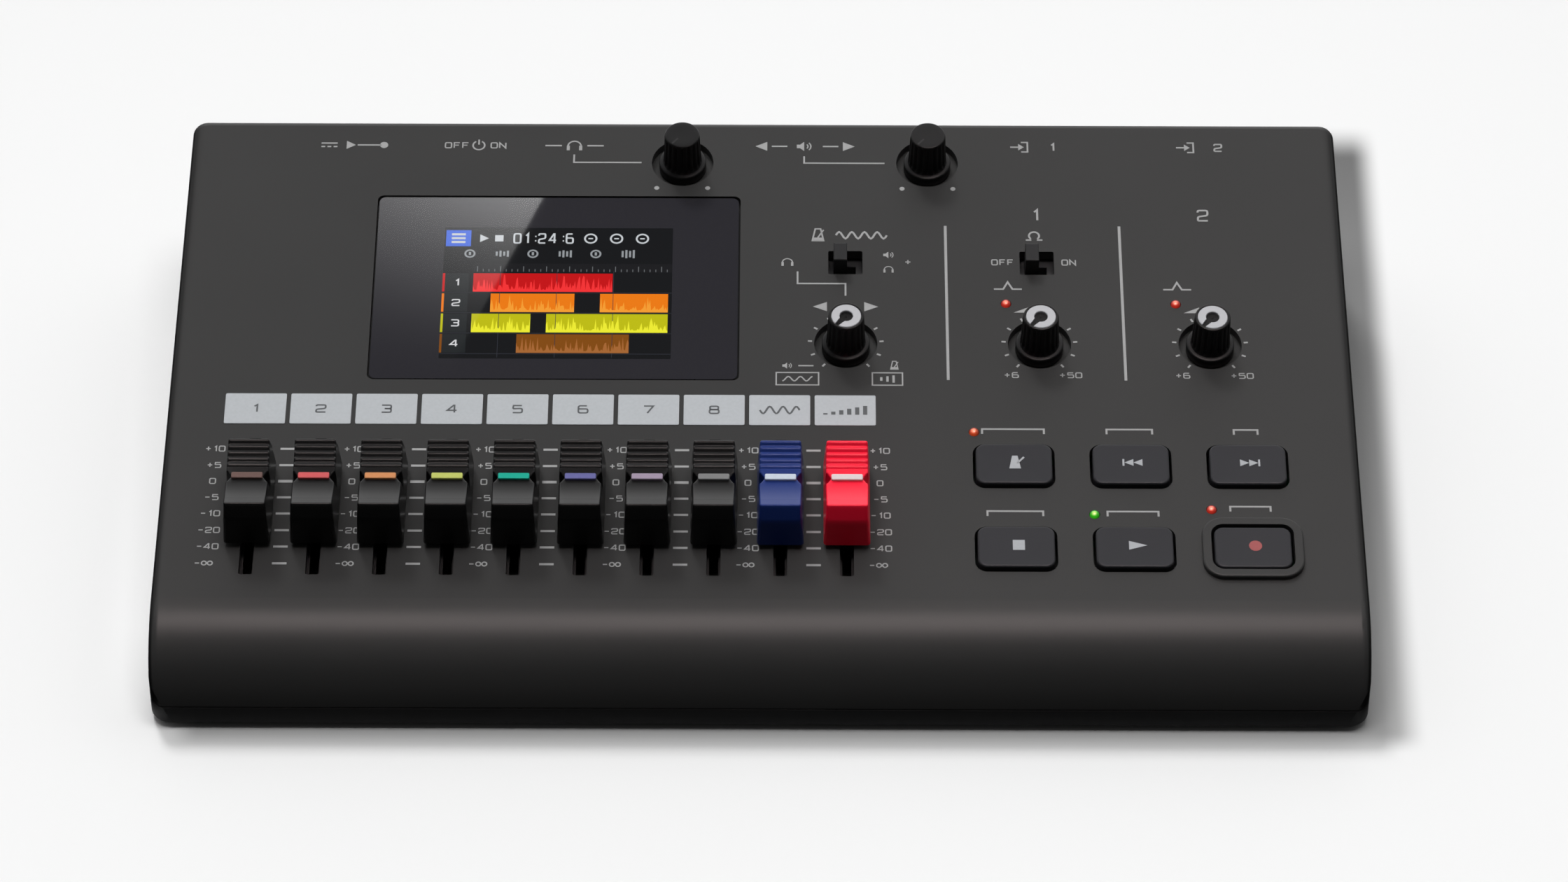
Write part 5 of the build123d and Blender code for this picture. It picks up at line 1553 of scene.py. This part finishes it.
def world_light():
    """Light from all round: an even level in front that grows with a direction's y to the rear's level."""
    world = Finish("studio", bpy.data.worlds, "ShaderNodeOutputWorld")
    turn = world.axes("Generated")[1].above(*WORLD_TURN)
    strength = turn * (WORLD_REAR - WORLD_FRONT) + WORLD_FRONT
    background = world.add("ShaderNodeBackground", None, {"Color": (*WHITE, 1.0), "Strength": strength})
    bpy.context.scene.world = world.close(background)


def lamp(name, kind, energy, place, aim, **settings):
    """Lamp at a place that points at its aim, and is not mirrored itself."""
    data = bpy.data.lights.new(name, kind)
    data.energy = energy
    for key, value in settings.items():
        setattr(data, key, value)
    thing = bpy.data.objects.new(name, data)
    thing.location = place
    direction = Vector(aim) - Vector(place)
    thing.rotation_euler = direction.to_track_quat("-Z", "Y").to_euler()
    thing.visible_glossy = False
    bpy.context.scene.collection.objects.link(thing)


def lamps():
    """Sun from behind on the left, and a softbox overhead: its power is radiance times pi times its area."""
    lamp("sun", "SUN", SUN_LEVEL, [-step for step in SUN_RUN], (0.0, 0.0, 0.0), angle=SUN_SPREAD)
    width, depth = SOFTBOX_SIZE
    energy = SOFTBOX_LEVEL * math.pi * width * depth
    lamp("overhead", "AREA", energy, SOFTBOX_PLACE, SOFTBOX_AIM, shape="RECTANGLE", size=width, size_y=depth)


def card(name, points, levels, tint=WHITE):
    """Card of the set that only gloss picks up, from a grid of points and the light level at each point."""
    finish = Finish(name)
    material = finish.close(finish.add("ShaderNodeEmission", None, {"Color": finish.tint()}))
    faces = grid_faces(*levels.shape)
    thing = new_object(name, points, faces, material, levels.ravel()[faces].reshape(-1, 1) * tint)
    thing.visible_camera = False
    thing.visible_diffuse = False
    thing.visible_shadow = False


def shares(rows, columns):
    return np.meshgrid(np.linspace(0, 1, rows), np.linspace(0, 1, columns), indexing="ij")


def between(span, share):
    return span[0] + (span[1] - span[0]) * share


def rear_card():
    """Low bright wall behind the set, seen in the front halves of the caps' saddles: part of a sphere."""
    s, t = shares(9, 6)
    turn = np.radians(between(REAR_CARD_TURN, s))
    rise = np.radians(between(REAR_CARD_RISE, t))
    places = np.stack((np.sin(turn) * np.cos(rise), np.cos(turn) * np.cos(rise), np.sin(rise)), axis=-1)
    card("rear_card", places * REAR_CARD_DISTANCE, np.full_like(s, REAR_CARD_LEVEL))


def sheets():
    """Warm card overhead that draws the highlight along the nose, and black cloth for gloss: on the floor in
    front and at both sides, to keep the pale floor out of the case's dark edges, and low over the display,
    to keep the nose's card out of the pane when it is seen from above."""
    s, t = shares(2, 2)
    for name, (x_span, y_span, height, light) in SHEETS.items():
        places = np.stack((between(x_span, s), between(y_span, t), np.full_like(s, height)), axis=-1)
        card(name, places, np.ones_like(s), light)


def mirrored_card(name, u, v, levels, eye, reach):
    """Card whose image in the pane covers the spots (u, v) of the panel for an eye at that place: each spot
    plus reach times the mirrored direction of the ray from the eye."""
    points = on_panel(np.column_stack((u.ravel(), v.ravel(), np.zeros(u.size))))
    inward = points - eye
    inward /= np.linalg.norm(inward, axis=1, keepdims=True)
    bounced = inward - 2 * (inward @ outward)[:, None] * outward
    card(name, points + bounced * reach, levels)


def window_cards(eye):
    """What the pane mirrors: a card that is brightest at its slanting right edge and fades down the window,
    and a larger black one behind it."""
    s, t = shares(14, 14)
    right_u = between((WINDOW_CARD_UPPER[0], WINDOW_CARD_LOWER[0]), t)
    v = between((WINDOW_CARD_UPPER[1], WINDOW_CARD_LOWER[1]), t)
    levels = WINDOW_CARD_LEVEL * between((WINDOW_CARD_DIM, 1.0), s) * (1 - t) ** WINDOW_CARD_FADE
    mirrored_card("window_card", between((WINDOW_CARD_LEFT, right_u), s), v, levels, eye, WINDOW_CARD_REACH)
    s, t = shares(2, 2)
    u, v = between(WINDOW_FLAG_SPAN[0], s), between(WINDOW_FLAG_SPAN[1], t)
    mirrored_card("window_flag", u, v, np.zeros_like(s), eye, WINDOW_FLAG_REACH)


def camera():
    """Camera over the aim point: back along the slope by cos(rise), out of the panel by sin(rise)."""
    data = bpy.data.cameras.new("camera")
    data.sensor_width = SENSOR_WIDTH
    data.lens = FOCAL_PIXELS / IMAGE_WIDTH * SENSOR_WIDTH
    data.clip_start, data.clip_end = VIEW_CLIP
    thing = bpy.data.objects.new("camera", data)
    aim = crest + (VIEW_AIM[0] * across + VIEW_AIM[1] * slope) * MM
    backward = -math.cos(VIEW_RISE) * slope + math.sin(VIEW_RISE) * outward
    up = math.sin(VIEW_RISE) * slope + math.cos(VIEW_RISE) * outward
    right = math.cos(VIEW_ROLL) * across + math.sin(VIEW_ROLL) * up
    above = math.cos(VIEW_ROLL) * up - math.sin(VIEW_ROLL) * across
    place = aim + VIEW_DISTANCE * MM * backward
    turn = np.eye(4)
    turn[:3] = np.column_stack((right, above, backward, place))
    thing.matrix_world = Matrix(turn.tolist())
    bpy.context.scene.collection.objects.link(thing)
    bpy.context.scene.camera = thing
    return place


floor()
world_light()
lamps()
rear_card()
sheets()
window_cards(camera())
bpy.context.scene.view_settings.view_transform = "Standard"
